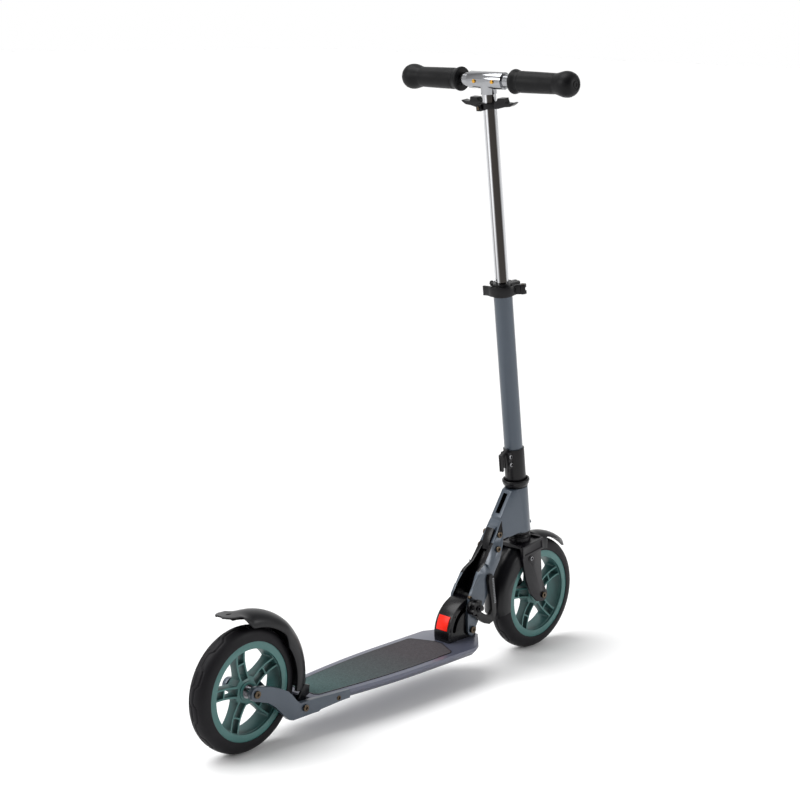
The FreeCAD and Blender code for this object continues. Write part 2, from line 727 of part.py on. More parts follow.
def make_lock_lever():
    """J-shaped cam lever on the skewer: hub, throat below, finger blade up the neck's front."""
    x, z = skewer_place()
    start, end = -neck_half - 6.4, -neck_half - part_gap
    outline = about_pivot([(-6, 28), (10, 16), (24, 7), (38, 2), (50, 6), (56, 18), (54, 40), (50, 62),
                           (47, 82), (42, 91), (35, 90), (33, 80), (37, 62), (42, 42), (44, 26), (40, 19),
                           (33, 19), (22, 25), (9, 34)])
    blade = side_plate(outline, start, end)
    hub = across(13.5, x, z, start, end)
    lever = fused(hub, blade)
    return lever.cut(across(4.0 + running_fit, x, z, start - 1, end + 1))


def make_stop_screw():
    """Brass screw in the right cheek beside the knob."""
    (x, z), = about_pivot([(-8.0, 58.5)])
    screw = across(3.2, x, z, -neck_half - 2.0, -neck_half + 3.0)
    return screw.cut(across(1.6, x, z, -neck_half - 2.0, -neck_half))


# ------------------------------------------------------------ fork and steering column
leg_inner = 24.0
leg_outer = 28.0
band_outer = 30.0
front_guard_crown = wheel_radius + 12.0
front_guard_half = 22.6
guard_screw = (-38.0, 75.0)


def make_fork(cutters):
    """Fork: crown tray with a bearing boss, side bands and two swept legs."""
    lowest = crown_bottom - axle_station
    legs = [(-48.5, lowest - 14), (-46.5, 68), (-43.5, 45), (-33, 14), (-17.5, -6)]
    legs += [ring_point(11.5, a) for a in range(230, 406, 25)]
    legs += [(-1, 31.5), (0.5, 56), (1.5, lowest - 14)]
    outline = [(fork_offset + x, axle_station + s) for x, s in legs]
    leg = side_plate(outline, -leg_outer, -leg_inner)
    band = block((-29, 28), (-band_outer, -leg_inner), (crown_bottom - 17, crown_bottom + 4))
    band = band.cut(block((-24, 23), (-band_outer, -leg_outer - 0.5), (crown_bottom - 13, crown_bottom)))
    plate = block((-29, 28), (-leg_inner, leg_inner), (crown_bottom, crown_bottom + crown_plate))
    plate = plate.cut(block((-24, 23), (-leg_inner, leg_inner), (crown_bottom + 2.5, crown_top)))
    spine = block((-24, 23), (-6, 6), (crown_bottom, crown_bottom + crown_plate))
    boss = upright(19.0, 0, 0, crown_bottom, crown_top)
    fork = fused(plate, boss, spine, leg, mirrored(leg), band, mirrored(band))
    fork = leaned(fork.cut(upright(steerer_radius, 0, 0, crown_bottom - 1, crown_top + 1)))
    boss_x, boss_z = front_x + guard_screw[0], axle_z + guard_screw[1]
    pad = fused(across(6.5, boss_x, boss_z, -leg_outer - 1.2, -leg_outer + 1),
                across(3.5, boss_x + 8, boss_z - 11, -leg_outer - 1.2, -leg_outer + 1),
                side_plate([(boss_x - 5.6, boss_z - 3.2), (boss_x + 6.0, boss_z + 3.5),
                            (boss_x + 11.2, boss_z - 9.4), (boss_x + 5.3, boss_z - 13.2)],
                           -leg_outer - 1.2, -leg_outer + 1))
    fork = fused(fork, pad, mirrored(pad))
    for cutter in cutters:
        fork = fork.cut(cutter)
    return fork


def make_steerer():
    return leaned(column_tube(steerer_radius, steerer_radius - 2.0, crown_bottom, collar_top - 8.0))


def make_lower_ring():
    """Cover over the lower head bearing."""
    low, high = crown_top, head_bottom - part_gap
    return leaned(column_spin([(14.0, low), (18.6, low), (18.6, low + 3), (17.0, low + 5), (18.8, high - 3.5),
                               (18.8, high), (14.0, high)]))


def make_upper_ring():
    """Flared cup on top of the head, with a rolled rim."""
    low = head_top + part_gap
    rim_s = head_top + 10.5
    return leaned(column_spin([(14.0, low), (19.2, low), (22.4, low + 5.2), (24.0, rim_s), (23.8, rim_s + 2.6),
                               (22.0, rim_s + 4.0), (20.2, rim_s + 2.8), (19.6, rim_s), (18.6, collar_bottom),
                               (14.0, collar_bottom)]))


def make_outer_column():
    tube = column_tube(outer_tube_radius, 14.0, collar_bottom + 2.0, tube_top)
    slit = block((0, 40), (-1.0, 1.0), (tube_top - 40, tube_top + 1))
    slit.rotate(Vector(0, 0, 0), Vector(0, 0, 1), clamp_slit_angle)
    return leaned(tube.cut(slit))


def collar_screw_stations():
    return (collar_top - 9.5, collar_top - 23.5)


def make_collar_screws():
    shapes = []
    for station in collar_screw_stations():
        screw = fused(across(1.8, -20.5, station, -8.6, 7.0), across(3.4, -20.5, station, -11.0, -8.6))
        shapes.append(leaned(screw.cut(across(1.5, -20.5, station, -11.0, -9.3))))
    return Part.makeCompound(shapes)


def make_base_collar(cutters):
    """Split clamp that joins the column to the fork's steerer, with a folding-catch hook behind."""
    outer = outer_tube_radius + 2.2
    body = upright(outer, 0, 0, collar_bottom, collar_top)
    ears = block((-24.5, -10), (-8.6, 8.6), (collar_top - 31, collar_top - 2))
    hook_root = side_plate([(-10, collar_top), (-20, collar_top + 2.5), (-37.5, collar_top - 3.5),
                            (-37.5, collar_top - 33), (-32.5, collar_top - 33), (-32.5, collar_top - 8),
                            (-20, collar_top - 4), (-10, collar_top - 6)], -3.0, 3.0)
    body = fused(body, ears, hook_root)
    body = body.cut(upright(outer_tube_radius, 0, 0, collar_bottom + 2.0, collar_top + 20))
    body = body.cut(upright(14.0, 0, 0, collar_bottom - 1, collar_bottom + 3.0))
    body = body.cut(block((-40, -10), (-0.8, 0.8), (collar_top - 40, collar_top - 8)))
    body = leaned(body)
    for cutter in cutters:
        body = body.cut(cutter)
    return body


def make_front_guard(cutters):
    """Mudguard round the front wheel, cut round the crown and pointed at the front."""
    skirt = wheel_radius - 17.0
    shell = wheel_spin(arch(front_guard_crown, front_guard_half, 2.0, skirt), front_x, axle_z, 152.0, 38.0)
    around_crown = leaned(block((-29 - part_gap, 28 + part_gap), (-40, 40),
                                (crown_bottom - part_gap, crown_bottom + 60)))
    shell = shell.cut(around_crown)
    ring = across(wheel_radius + 3.0, front_x, axle_z, -40, 40)
    nose = side_plate([(front_x + 14, axle_z), (front_x + 14, axle_z + 200), (front_x + 200, axle_z + 200),
                       (front_x + 200, axle_z)], -40, 40)
    shell = shell.cut(ring.common(nose))
    tip = front_x + 92.0
    for side in (-1, 1):
        corner = plan_plate([(tip + 30, 0), (tip, 0), (front_x + 58, side * 17), (front_x + 36, side * 23.5),
                             (front_x + 36, side * 60), (tip + 30, side * 60)], axle_z, axle_z + 200)
        shell = shell.cut(corner)
    screw_x, screw_z = front_x + guard_screw[0], axle_z + guard_screw[1]
    tab = across(6.0, screw_x, screw_z, -leg_inner, -front_guard_half + 2.0)
    shell = fused(shell, tab, mirrored(tab))
    for cutter in cutters:
        shell = shell.cut(cutter)
    return shell


def make_guard_screws():
    x, z = front_x + guard_screw[0], axle_z + guard_screw[1]
    screw = fused(across(2.0, x, z, -leg_outer - 1.2, -front_guard_half + 2.0),
                  across(3.6, x, z, -leg_outer - 2.6, -leg_outer - 1.2))
    return both_sides(screw.cut(across(1.5, x, z, -leg_outer - 2.6, -leg_outer - 1.4)))


# ------------------------------------------------------------ height clamp
clamp_low = tube_top - 21.5
clamp_high = tube_top + 1.0
clamp_slit_angle = -20.0
clamp_outer = outer_tube_radius + 3.0
cam_place = (15.0, -32.0)
cam_radius = 6.0


def clamp_frame(shape):
    """Turns a shape drawn with the clamp's slit along +X to the slit's real direction."""
    shape.rotate(Vector(0, 0, 0), Vector(0, 0, 1), clamp_slit_angle)
    return shape


def cam_in_clamp_frame():
    angle = -math.radians(clamp_slit_angle)
    x, y = cam_place
    return x * math.cos(angle) - y * math.sin(angle), x * math.sin(angle) + y * math.cos(angle)


def make_clamp_skewer():
    """Cross bolt of the clamp, with the barrel that the lever turns on."""
    x, y = cam_in_clamp_frame()
    middle = (clamp_low + clamp_high) / 2
    bolt = across(2.5, x, middle, y, 9.0)
    nut = across(4.5, x, middle, 7.4, 11.0)
    barrel = upright(3.0, x, y, clamp_low + 2.5, clamp_high - 2.5)
    return leaned(clamp_frame(fused(bolt, nut, barrel)))


def make_clamp_collar(cutters):
    """Split collar at the top of the painted tube, with two ears and a small eyelet."""
    x, _ = cam_in_clamp_frame()
    ring = upright(clamp_outer, 0, 0, clamp_low, clamp_high)
    ears = block((10, x + 5.5), (-7.4, 7.4), (clamp_low + 2, clamp_high - 2))
    body = fused(ring, ears)
    body = body.cut(block((0, 60), (-1.2, 1.2), (clamp_low - 1, clamp_high + 1)))
    body = clamp_frame(body)
    eyelet = fused(across(4.2, -15.5, clamp_high + 1.8, 8.0, 11.0),
                   block((-18, -13), (8.0, 11.0), (clamp_high - 3, clamp_high + 1)))
    body = fused(body, eyelet).cut(across(2.4, -15.5, clamp_high + 1.8, 7, 12))
    body = leaned(body.cut(upright(outer_tube_radius, 0, 0, clamp_low - 1, clamp_high + 20)))
    for cutter in cutters:
        body = body.cut(cutter)
    return body


def make_clamp_lever():
    """Cam lever that wraps round the back of the clamp, with a flared tip."""
    low, high = clamp_low + 3.0, clamp_high - 3.0
    inner, outer = clamp_outer + 2.6, clamp_outer + 6.6
    angles = [-78.0 - 9.5 * i for i in range(15)]
    wall_in = [ring_point(inner, a) for a in angles]
    wall_out = [ring_point(outer, a) for a in angles]
    flare = [ring_point(outer + 7.5, angles[-1] - 15), ring_point(outer + 4.4, angles[-1] - 17)]
    band = plan_plate(wall_in + flare[::-1] + wall_out[::-1], low, high)
    x, y = cam_place
    head = upright(cam_radius, x, y, low, high)
    link = plan_plate([(x - 3, y + 5.2), wall_in[0], wall_in[1], wall_out[1], wall_out[0], (x - 2, y - 5.6)], low, high)
    lever = fused(band, head, link)
    lever = lever.cut(upright(3.0 + running_fit, x, y, low - 1, high + 1))
    middle = (low + high) / 2
    sweep = []
    for turn in range(0, 136, 15):
        slot = block((-3.2, 3.2), (0, 30), (middle - 3.2, middle + 3.2))
        slot.rotate(Vector(0, 0, 0), Vector(0, 0, 1), clamp_slit_angle - turn)
        slot.translate(Vector(x, y, 0))
        sweep.append(slot.common(upright(cam_radius + 4.5, x, y, low, high)))
    for slot in sweep:
        lever = lever.cut(slot)
    return leaned(lever)


def make_top_bush():
    """Plastic guide for the chrome tube, in the mouth of the painted tube."""
    low = tube_top - 30.0
    bush = column_spin([(inner_tube_radius + running_fit, low), (14.0, low), (14.0, tube_top),
                        (15.6, tube_top), (15.6, tube_top + 1.2), (inner_tube_radius + running_fit, tube_top + 1.2)])
    return leaned(bush)


# ------------------------------------------------------------ chrome tube and T
sleeve_radius = 14.0
sleeve_half = 35.5
button_place = 19.0
button_radius = 3.0
tube_foot = tube_top - 92.0


def make_inner_column():
    wall = 1.8
    tube = column_tube(inner_tube_radius, inner_tube_radius - wall, tube_foot, bar_height)
    return leaned(tube.cut(across(sleeve_radius, 0, bar_height, -60, 60)))


def make_foot_bush():
    """Plastic guide on the chrome tube's lower end."""
    bush = column_tube(14.0 - running_fit, inner_tube_radius, tube_foot, tube_foot + 40)
    return leaned(bush)


def make_t_sleeve():
    """Welded T: a sleeve across the top, open at both ends, with a button hole each side."""
    sleeve = across(sleeve_radius, 0, bar_height, -sleeve_half, sleeve_half)
    socket = upright(inner_tube_radius + 1.5, 0, 0, bar_height - 22, bar_height)
    socket = socket.cut(upright(inner_tube_radius, 0, 0, bar_height - 23, bar_height))
    tee = fused(sleeve, socket.cut(across(sleeve_radius - 1, 0, bar_height, -60, 60)))
    tee = tee.cut(across(bar_radius + running_fit, 0, bar_height, -60, 60))
    for side in (-1, 1):
        y = side * button_place
        tee = tee.cut(rod(button_radius + 0.15, Vector(-30, y, bar_height), Vector(-5, y, bar_height)))
    return leaned(tee)


clip_station = bar_height - 40.0


def clip_screw_shape():
    x, y = -16.2, 9.0
    screw = fused(rod(1.6, Vector(x - 5.0, y, clip_station - 3), Vector(x + 6, y, clip_station - 3)),
                  rod(3.0, Vector(x - 5.0, y, clip_station - 3), Vector(x - 2.6, y, clip_station - 3)))
    return leaned(screw.cut(rod(1.3, Vector(x - 5.0, y, clip_station - 3), Vector(x - 3.8, y, clip_station - 3))))


def make_grip_clip(cutters):
    """Plastic clip on the chrome tube: two open hooks that park the pulled-out handlebars."""
    s = clip_station
    band = upright(inner_tube_radius + 3.2, 0, 0, s - 5.5, s + 4.5)
    boss = block((-18.8, -9), (4.5, 13.5), (s - 8, s + 3))
    hook = [(10, s - 5.5), (22, s - 5.0), (36, s - 1.5), (47, s - 0.5), (54, s + 3.5), (56, s + 6.0),
            (53, s + 6.5), (46, s + 4.6), (38, s + 5.2), (37, s + 7.0), (36, s + 12.5), (22, s + 12.0),
            (20, s + 7.5), (14, s + 5.0), (10, s + 4.5)]
    corners = [Vector(-6, y, z) for y, z in hook]
    arm = Part.Face(Part.makePolygon(corners + corners[:1])).extrude(Vector(12, 0, 0))
    clip = fused(band, boss, arm, mirrored(arm))
    clip = leaned(clip.cut(upright(inner_tube_radius, 0, 0, s - 20, s + 20)))
    for cutter in cutters:
        clip = clip.cut(cutter)
    return clip


# ------------------------------------------------------------ handlebars
bar_wall = 1.5
grip_start = 54.0
grip_end = handlebar_width / 2


def make_bar():
    """Left handlebar tube, with its button hole."""
    bar = across(bar_radius, 0, bar_height, 1.5, grip_end - 6.0)
    bar = bar.cut(across(bar_radius - bar_wall, 0, bar_height, 0, grip_end))
    hole = rod(button_radius + running_fit, Vector(-30, button_place, bar_height), Vector(0, button_place, bar_height))
    return leaned(bar.cut(hole))


def make_grip():
    """Left rubber grip: flange by the T, slim middle, round bulb with a ringed end."""
    y0, y1 = grip_start, grip_end
    inner = [(bar_radius, y0), (18.0, y0)]
    flange = [(18.0, y0), (20.0, y0 + 3), (19.6, y0 + 6), (17.8, y0 + 11), (17.5, y0 + 18)]
    body = [(17.5, y0 + 18), (17.2, y0 + 50), (16.6, y1 - 38)]
    bulb = [(16.6, y1 - 38), (18.6, y1 - 30), (20.7, y1 - 21), (20.2, y1 - 12), (16.4, y1 - 4.5), (11.0, y1 - 0.8)]
    end = [(11.0, y1 - 0.8), (8.6, y1), (8.0, y1 - 1.0), (6.0, y1 - 1.0), (5.4, y1), (3.2, y1), (2.6, y1 - 1.0),
           (0.0, y1 - 1.0), (0.0, y1 - 6.0), (bar_radius, y1 - 6.0), (bar_radius, y0)]

    def place(points):
        return [Vector(0, y, bar_height + r) for r, y in points]

    edges = [line_edge(*place(inner))]
    edges += [spline_edge(place(part)) for part in (flange, body, bulb)]
    corners = place(end)
    edges += [line_edge(a, b) for a, b in zip(corners, corners[1:])]
    outline = Part.Face(Part.Wire(Part.__sortEdges__(edges)))
    return leaned(outline.revolve(Vector(0, 0, bar_height), Vector(0, 1, 0), 360))


def make_button():
    """Left snap button: a brass plunger with a shoulder inside the bar."""
    y = button_place
    tip = sleeve_radius + 1.4
    shoulder = bar_radius - bar_wall
    button = fused(rod(button_radius, Vector(-tip, y, bar_height), Vector(-shoulder + 2.6, y, bar_height)),
                   rod(button_radius + 1.0, Vector(-shoulder + 1.2, y, bar_height),
                       Vector(-shoulder + 2.6, y, bar_height)))
    return leaned(button)


def make_button_spring():
    """Left leaf spring that holds the button out."""
    y = button_place
    rise = bar_radius - bar_wall
    x_back, x_seat = rise - 0.3, -rise + 2.7
    corners = [(x_back - 0.6, y - 12), (x_back, y - 12), (x_back, y - 2), (x_seat + 0.5, y + 4),
               (x_seat + 0.5, y + 5), (x_seat, y + 5), (x_seat, y - 4), (x_back - 0.6, y - 2.6)]
    strip = plan_plate(corners, bar_height - 2.0, bar_height + 2.0)
    return leaned(strip)


# ------------------------------------------------------------ assembly
def build_chassis():
    brake_pivot = make_brake_pivot()
    screw_holes = arm_screw_blanks()
    rear_axle = make_axle(rear_x, axle_z, arm_outer_half, axle_radius, 6.0)
    arm_left = arm_blank()
    room_left = arm_room()
    block_bolts = make_block_bolts()
    pivot_bolt = make_pivot_bolt()
    reflector = make_reflector()
    arm_cutters = [brake_pivot, screw_holes, rear_axle]
    arms = {}
    for name, arm in (("rear_arm_left", arm_left), ("rear_arm_right", mirrored(arm_left))):
        for cutter in arm_cutters:
            arm = arm.cut(cutter)
        arms[name] = arm
    save("deck", make_deck([room_left, mirrored(room_left), screw_holes, block_bolts]))
    save("grip_tape", make_grip_tape())
    for name, arm in arms.items():
        save(name, arm)
    save("rear_arm_screws", make_arm_screws())
    save("rear_axle", rear_axle)
    save("rear_axle_spacers", make_spacers(rear_x, arm_inner_half))
    save("brake_pivot_pin", brake_pivot)
    save("brake_spring", make_brake_spring())
    save("fold_block", make_fold_block([reflector, block_bolts, pivot_bolt]))
    save("rear_reflector", reflector)
    save("fold_block_bolts", block_bolts)
    save("fold_pivot_bolt", pivot_bolt)


def build_rear_brake():
    rivet = make_rivet()
    plate = brake_plate_blank()
    save("rear_mudguard", make_rear_guard([rivet]))
    save("brake_wear_plate", plate.cut(rivet))
    save("mudguard_rivet", rivet)


def build_neck():
    bolts = make_neck_bolts()
    bearings = make_headset_bearings()
    skewer = make_skewer()
    stop = make_stop_screw()
    head = make_head_tube([bolts, bearings])
    save("neck_arm", make_neck_arm([tongue_blank(8.0), bolts, skewer, stop, head]))
    save("head_tube", head)
    save("neck_bolts", bolts)
    save("headset_bearings", bearings)
    save("lock_skewer", skewer)
    save("lock_stop_screw", stop)
    save("lock_knob", make_knob())
    save("lock_lever", make_lock_lever())


def build_fork():
    steerer = make_steerer()
    front_axle = make_axle(front_x, axle_z, leg_outer, axle_radius, 5.5)
    guard_screws = make_guard_screws()
    collar_screws = make_collar_screws()
    clamp_skewer = make_clamp_skewer()
    save("fork", make_fork([steerer, front_axle, guard_screws]))
    save("steerer_tube", steerer)
    save("lower_headset_ring", make_lower_ring())
    save("upper_headset_ring", make_upper_ring())
    save("outer_column", make_outer_column())
    save("base_collar", make_base_collar([collar_screws]))
    save("collar_screws", collar_screws)
    save("front_axle", front_axle)
    save("front_axle_spacers", make_spacers(front_x, leg_inner))
    save("front_mudguard", make_front_guard([guard_screws]))
    save("front_mudguard_screws", guard_screws)
    save("clamp_collar", make_clamp_collar([clamp_skewer]))
    save("clamp_skewer", clamp_skewer)
    save("column_top_bush", make_top_bush())
    save("clamp_lever", make_clamp_lever())


def build_inner_column():
    screw = clip_screw_shape()
    save("inner_column", make_inner_column())
    save("column_foot_bush", make_foot_bush())
    save("t_sleeve", make_t_sleeve())
    save("grip_clip", make_grip_clip([screw]))
    save("grip_clip_screw", screw)


def build_handlebars():
    left = {"handlebar": make_bar(), "grip": make_grip(), "snap_button": make_button(),
            "button_spring": make_button_spring()}
    for name, shape in left.items():
        save(name + "_left", shape)
        save(name + "_right", mirrored(shape))


def main():
    os.makedirs("parts", exist_ok=True)
    make_wheel("rear", rear_x, rear_spoke_angle)
    make_wheel("front", front_x, front_spoke_angle)
    build_chassis()
    build_rear_brake()
    build_neck()
    build_fork()
    build_inner_column()
    build_handlebars()


main()
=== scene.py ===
import json
import logging
import math
from dataclasses import dataclass
from dataclasses import field
from enum import Enum
from typing import Callable

import bpy
from mathutils import Matrix
from mathutils import Vector


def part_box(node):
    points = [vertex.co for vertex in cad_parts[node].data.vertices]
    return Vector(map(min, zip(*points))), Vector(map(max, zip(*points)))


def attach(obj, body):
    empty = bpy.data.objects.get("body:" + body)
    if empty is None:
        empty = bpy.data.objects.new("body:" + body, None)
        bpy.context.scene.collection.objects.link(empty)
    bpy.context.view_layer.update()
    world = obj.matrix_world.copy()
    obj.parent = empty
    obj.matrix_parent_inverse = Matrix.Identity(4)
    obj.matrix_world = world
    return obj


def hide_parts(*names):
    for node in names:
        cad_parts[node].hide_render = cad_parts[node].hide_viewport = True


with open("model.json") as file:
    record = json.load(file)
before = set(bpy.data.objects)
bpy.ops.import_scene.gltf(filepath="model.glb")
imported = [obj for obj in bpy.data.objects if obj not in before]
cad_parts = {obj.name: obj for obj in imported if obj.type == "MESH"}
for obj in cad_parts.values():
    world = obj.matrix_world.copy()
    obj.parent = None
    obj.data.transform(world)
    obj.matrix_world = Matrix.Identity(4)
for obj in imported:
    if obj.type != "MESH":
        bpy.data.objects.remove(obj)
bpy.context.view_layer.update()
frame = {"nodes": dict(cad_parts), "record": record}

MM = 0.001
WELD = 0.00001                      # metres; points nearer than this are one
LOG = logging.getLogger("kick_scooter")

# sockets of a mix node that mixes colours
COLOUR_A = 6
COLOUR_B = 7
COLOUR_OUT = 2


# ---------------------------------------------------------------- colour and shader nodes
def linear(hex_colour: str) -> tuple[float, float, float, float]:
    """Turns an sRGB hex colour to linear light.

    Args:
        hex_colour: Six hex digits, with or without a leading hash.

    Returns:
        Red, green, blue and an alpha of one.
    """
    digits = hex_colour.lstrip("#")
    channels = [int(digits[i:i + 2], 16) / 255 for i in (0, 2, 4)]
    red, green, blue = [c / 12.92 if c <= 0.04045 else ((c + 0.055) / 1.055) ** 2.4 for c in channels]
    return red, green, blue, 1.0


def add_node(tree: bpy.types.NodeTree, kind: str, settings: dict | None = None,
             links: dict | None = None) -> bpy.types.Node:
    """Adds a shader node with its settings and links.

    Args:
        tree: The node tree that gets the node.
        kind: Blender's name for the node type.
        settings: Values by socket name or number, or by property name where no socket has it.
        links: Source sockets by the name or number of the input that they feed.

    Returns:
        The new node.
    """
    node = tree.nodes.new(kind)
    for name, value in (settings or {}).items():
        if isinstance(name, int) or name in node.inputs:
            node.inputs[name].default_value = value
        else:
            setattr(node, name, value)
    for name, source in (links or {}).items():
        tree.links.new(source, node.inputs[name])
    return node


def new_material(name: str) -> tuple[bpy.types.Material, bpy.types.NodeTree, bpy.types.Node]:
    """Starts a material with a bare principled shader.

    Args:
        name: The finish's common name.

    Returns:
        The material, its node tree and its principled shader.
    """
    material = bpy.data.materials.new(name)
    material.use_nodes = True
    tree = material.node_tree
    return material, tree, tree.nodes["Principled BSDF"]


def pattern_vector(tree: bpy.types.NodeTree, cell: float) -> bpy.types.NodeSocket:
    """Object coordinates scaled so that one unit is one pattern cell.

    Args:
        tree: The material's node tree.
        cell: Size of a cell in metres.

    Returns:
        The vector socket.
    """
    coordinates = add_node(tree, "ShaderNodeTexCoord")
    mapping = add_node(tree, "ShaderNodeMapping", {"Scale": (1 / cell, 1 / cell, 1 / cell)},
                       {"Vector": coordinates.outputs["Object"]})
    return mapping.outputs["Vector"]


def add_noise(tree: bpy.types.NodeTree, cell: float, detail: float) -> bpy.types.NodeSocket:
    """Adds soft noise over the piece.

    Args:
        tree: The material's node tree.
        cell: Size of a cell in metres.
        detail: How many finer octaves it has.

    Returns:
        The socket with the noise, nought to one.
    """
    noise = add_node(tree, "ShaderNodeTexNoise", {"Scale": 1.0, "Detail": detail},
                     {"Vector": pattern_vector(tree, cell)})
    return noise.outputs["Fac"]


def lay_tint(tree: bpy.types.NodeTree, shader: bpy.types.Node, noise: bpy.types.NodeSocket,
             colour: str, shade: str) -> None:
    """Lets the base colour drift between two near shades.

    Args:
        tree: The material's node tree.
        shader: Its principled shader.
        noise: What the drift follows.
        colour: Hex colour where the noise is nought.
        shade: Hex colour where it is one.
    """
    tint = add_node(tree, "ShaderNodeMix",
                    {"data_type": "RGBA", COLOUR_A: linear(colour), COLOUR_B: linear(shade)},
                    {"Factor": noise})
    tree.links.new(tint.outputs[COLOUR_OUT], shader.inputs["Base Color"])


def lay_roughness(tree: bpy.types.NodeTree, shader: bpy.types.Node, noise: bpy.types.NodeSocket,
                  lowest: float, highest: float) -> None:
    """Lets the roughness drift between two values.

    Args:
        tree: The material's node tree.
        shader: Its principled shader.
        noise: What the drift follows.
        lowest: Roughness where the noise is nought.
        highest: Roughness where it is one.
    """
    rough = add_node(tree, "ShaderNodeMapRange", {"To Min": lowest, "To Max": highest}, {"Value": noise})
    tree.links.new(rough.outputs["Result"], shader.inputs["Roughness"])


def lay_bump(tree: bpy.types.NodeTree, shader: bpy.types.Node, height: bpy.types.NodeSocket,
             strength: float, distance: float) -> None:
    """Raises a pattern on the surface.

    Args:
        tree: The material's node tree.
        shader: Its principled shader.
        height: The pattern.
        strength: How much of it shows.
        distance: Its full height in metres.
    """
    bump = add_node(tree, "ShaderNodeBump", {"Strength": strength, "Distance": distance}, {"Height": height})
    tree.links.new(bump.outputs["Normal"], shader.inputs["Normal"])


# ---------------------------------------------------------------- finishes
@dataclass(frozen=True)
class PaintedMetal:
    """Powder coat baked on metal: a satin film whose orange peel breaks up the highlights."""

    name: str
    colour: str
    shade: str
    roughness: float = 0.36
    glossier: float = 0.05          # the roughness drifts this far down
    duller: float = 0.07            # and this far up
    metallic: float = 0.25
    coat: float = 0.25
    specular: float = 0.5
    peel: float = 1.6 * MM          # real orange peel is 0.5 mm, drawn coarser so that it shows
    cloud: float = 40 * MM

    def material(self) -> bpy.types.Material:
        """Builds the finish."""
        material, tree, shader = new_material(self.name)
        lay_tint(tree, shader, add_noise(tree, self.cloud, 3.0), self.colour, self.shade)
        peel = add_noise(tree, self.peel, 2.0)
        lay_roughness(tree, shader, peel, self.roughness - self.glossier, self.roughness + self.duller)
        lay_bump(tree, shader, peel, 0.10, 0.2 * MM)
        shader.inputs["Metallic"].default_value = self.metallic
        shader.inputs["Specular IOR Level"].default_value = self.specular
        shader.inputs["Coat Weight"].default_value = self.coat
        shader.inputs["Coat Roughness"].default_value = 0.2
        return material


@dataclass(frozen=True)
class MouldedPlastic:
    """Spark-eroded mould finish: a fine leather-like grain on nylon or rubber."""

    name: str
    colour: str
    shade: str
    roughness: float = 0.5
    glossier: float = 0.06          # the roughness drifts this far down
    duller: float = 0.1             # and this far up
    grain: float = 1.4 * MM         # real mould grain is 0.3 mm, drawn coarser so that it shows
    cloud: float = 22 * MM
    bump: float = 0.22
    specular: float = 0.5

    def material(self) -> bpy.types.Material:
        """Builds the finish."""
        material, tree, shader = new_material(self.name)
        grain = add_node(tree, "ShaderNodeTexVoronoi", {"Scale": 1.0},
                         {"Vector": pattern_vector(tree, self.grain)})
        clouds = add_noise(tree, self.cloud, 4.0)
        lay_tint(tree, shader, clouds, self.colour, self.shade)
        lay_roughness(tree, shader, clouds, self.roughness - self.glossier, self.roughness + self.duller)
        lay_bump(tree, shader, grain.outputs["Distance"], self.bump, 0.2 * MM)
        shader.inputs["Specular IOR Level"].default_value = self.specular
        return material


@dataclass(frozen=True)
class PlatedMetal:
    """Bright plating or bare ground metal: fine surface noise and a little tarnish."""

    name: str
    colour: str
    roughness: float = 0.12
    spread: float = 0.08
    tarnish: float = 9 * MM
    ripple: float = 0.8 * MM

    def material(self) -> bpy.types.Material:
        """Builds the finish."""
        material, tree, shader = new_material(self.name)
        lay_roughness(tree, shader, add_noise(tree, self.tarnish, 3.0),
                      self.roughness, self.roughness + self.spread)
        lay_bump(tree, shader, add_noise(tree, self.ripple, 1.0), 0.03, 0.1 * MM)
        shader.inputs["Base Color"].default_value = linear(self.colour)
        shader.inputs["Metallic"].default_value = 1.0
        return material


@dataclass(frozen=True)
class ChromeTubePaintedReflections:
    """Chromed drawn tube with painted reflections: bright, with dark streaks of painted reflection that run
    its whole length.
    """

    name: str = "chrome_tube_painted_reflections"
    bright: str = "#D4D5D8"
    dark: str = "#3A3735"
    dark_to: float = 0.42           # noise below this is all dark
    bright_from: float = 0.54       # and above this all bright
    lean: float = 8.5               # degrees that the tube leans back
    reflection_band: float = 11 * MM
    length: float = 3.0
    shift: float = 4.1              # which part of the pattern falls on the tube

    def material(self) -> bpy.types.Material:
        """Builds the finish."""
        material, tree, shader = new_material(self.name)
        coordinates = add_node(tree, "ShaderNodeTexCoord")
        upright = add_node(tree, "ShaderNodeMapping", {"Rotation": (0, math.radians(self.lean), 0)},
                           {"Vector": coordinates.outputs["Object"]})
        stretch = (1 / self.reflection_band, 1 / self.reflection_band, 1 / self.length)
        drawn = add_node(tree, "ShaderNodeMapping", {"Location": (self.shift, 0, 0), "Scale": stretch},
                         {"Vector": upright.outputs["Vector"]})
        # painted reflections: noise stretched along the tube is drawn into the base colour as dark and bright
        # streaks
        painted_reflections = add_node(tree, "ShaderNodeTexNoise", {"Scale": 1.0, "Detail": 1.5},
                           {"Vector": drawn.outputs["Vector"]})
        fade = add_node(tree, "ShaderNodeValToRGB", None, {"Fac": painted_reflections.outputs["Fac"]})
        low, high = fade.color_ramp.elements
        low.position = self.dark_to
        low.color = linear(self.dark)
        high.position = self.bright_from
        high.color = linear(self.bright)
        tree.links.new(fade.outputs["Color"], shader.inputs["Base Color"])
        shader.inputs["Metallic"].default_value = 1.0
        shader.inputs["Roughness"].default_value = 0.13
        return material


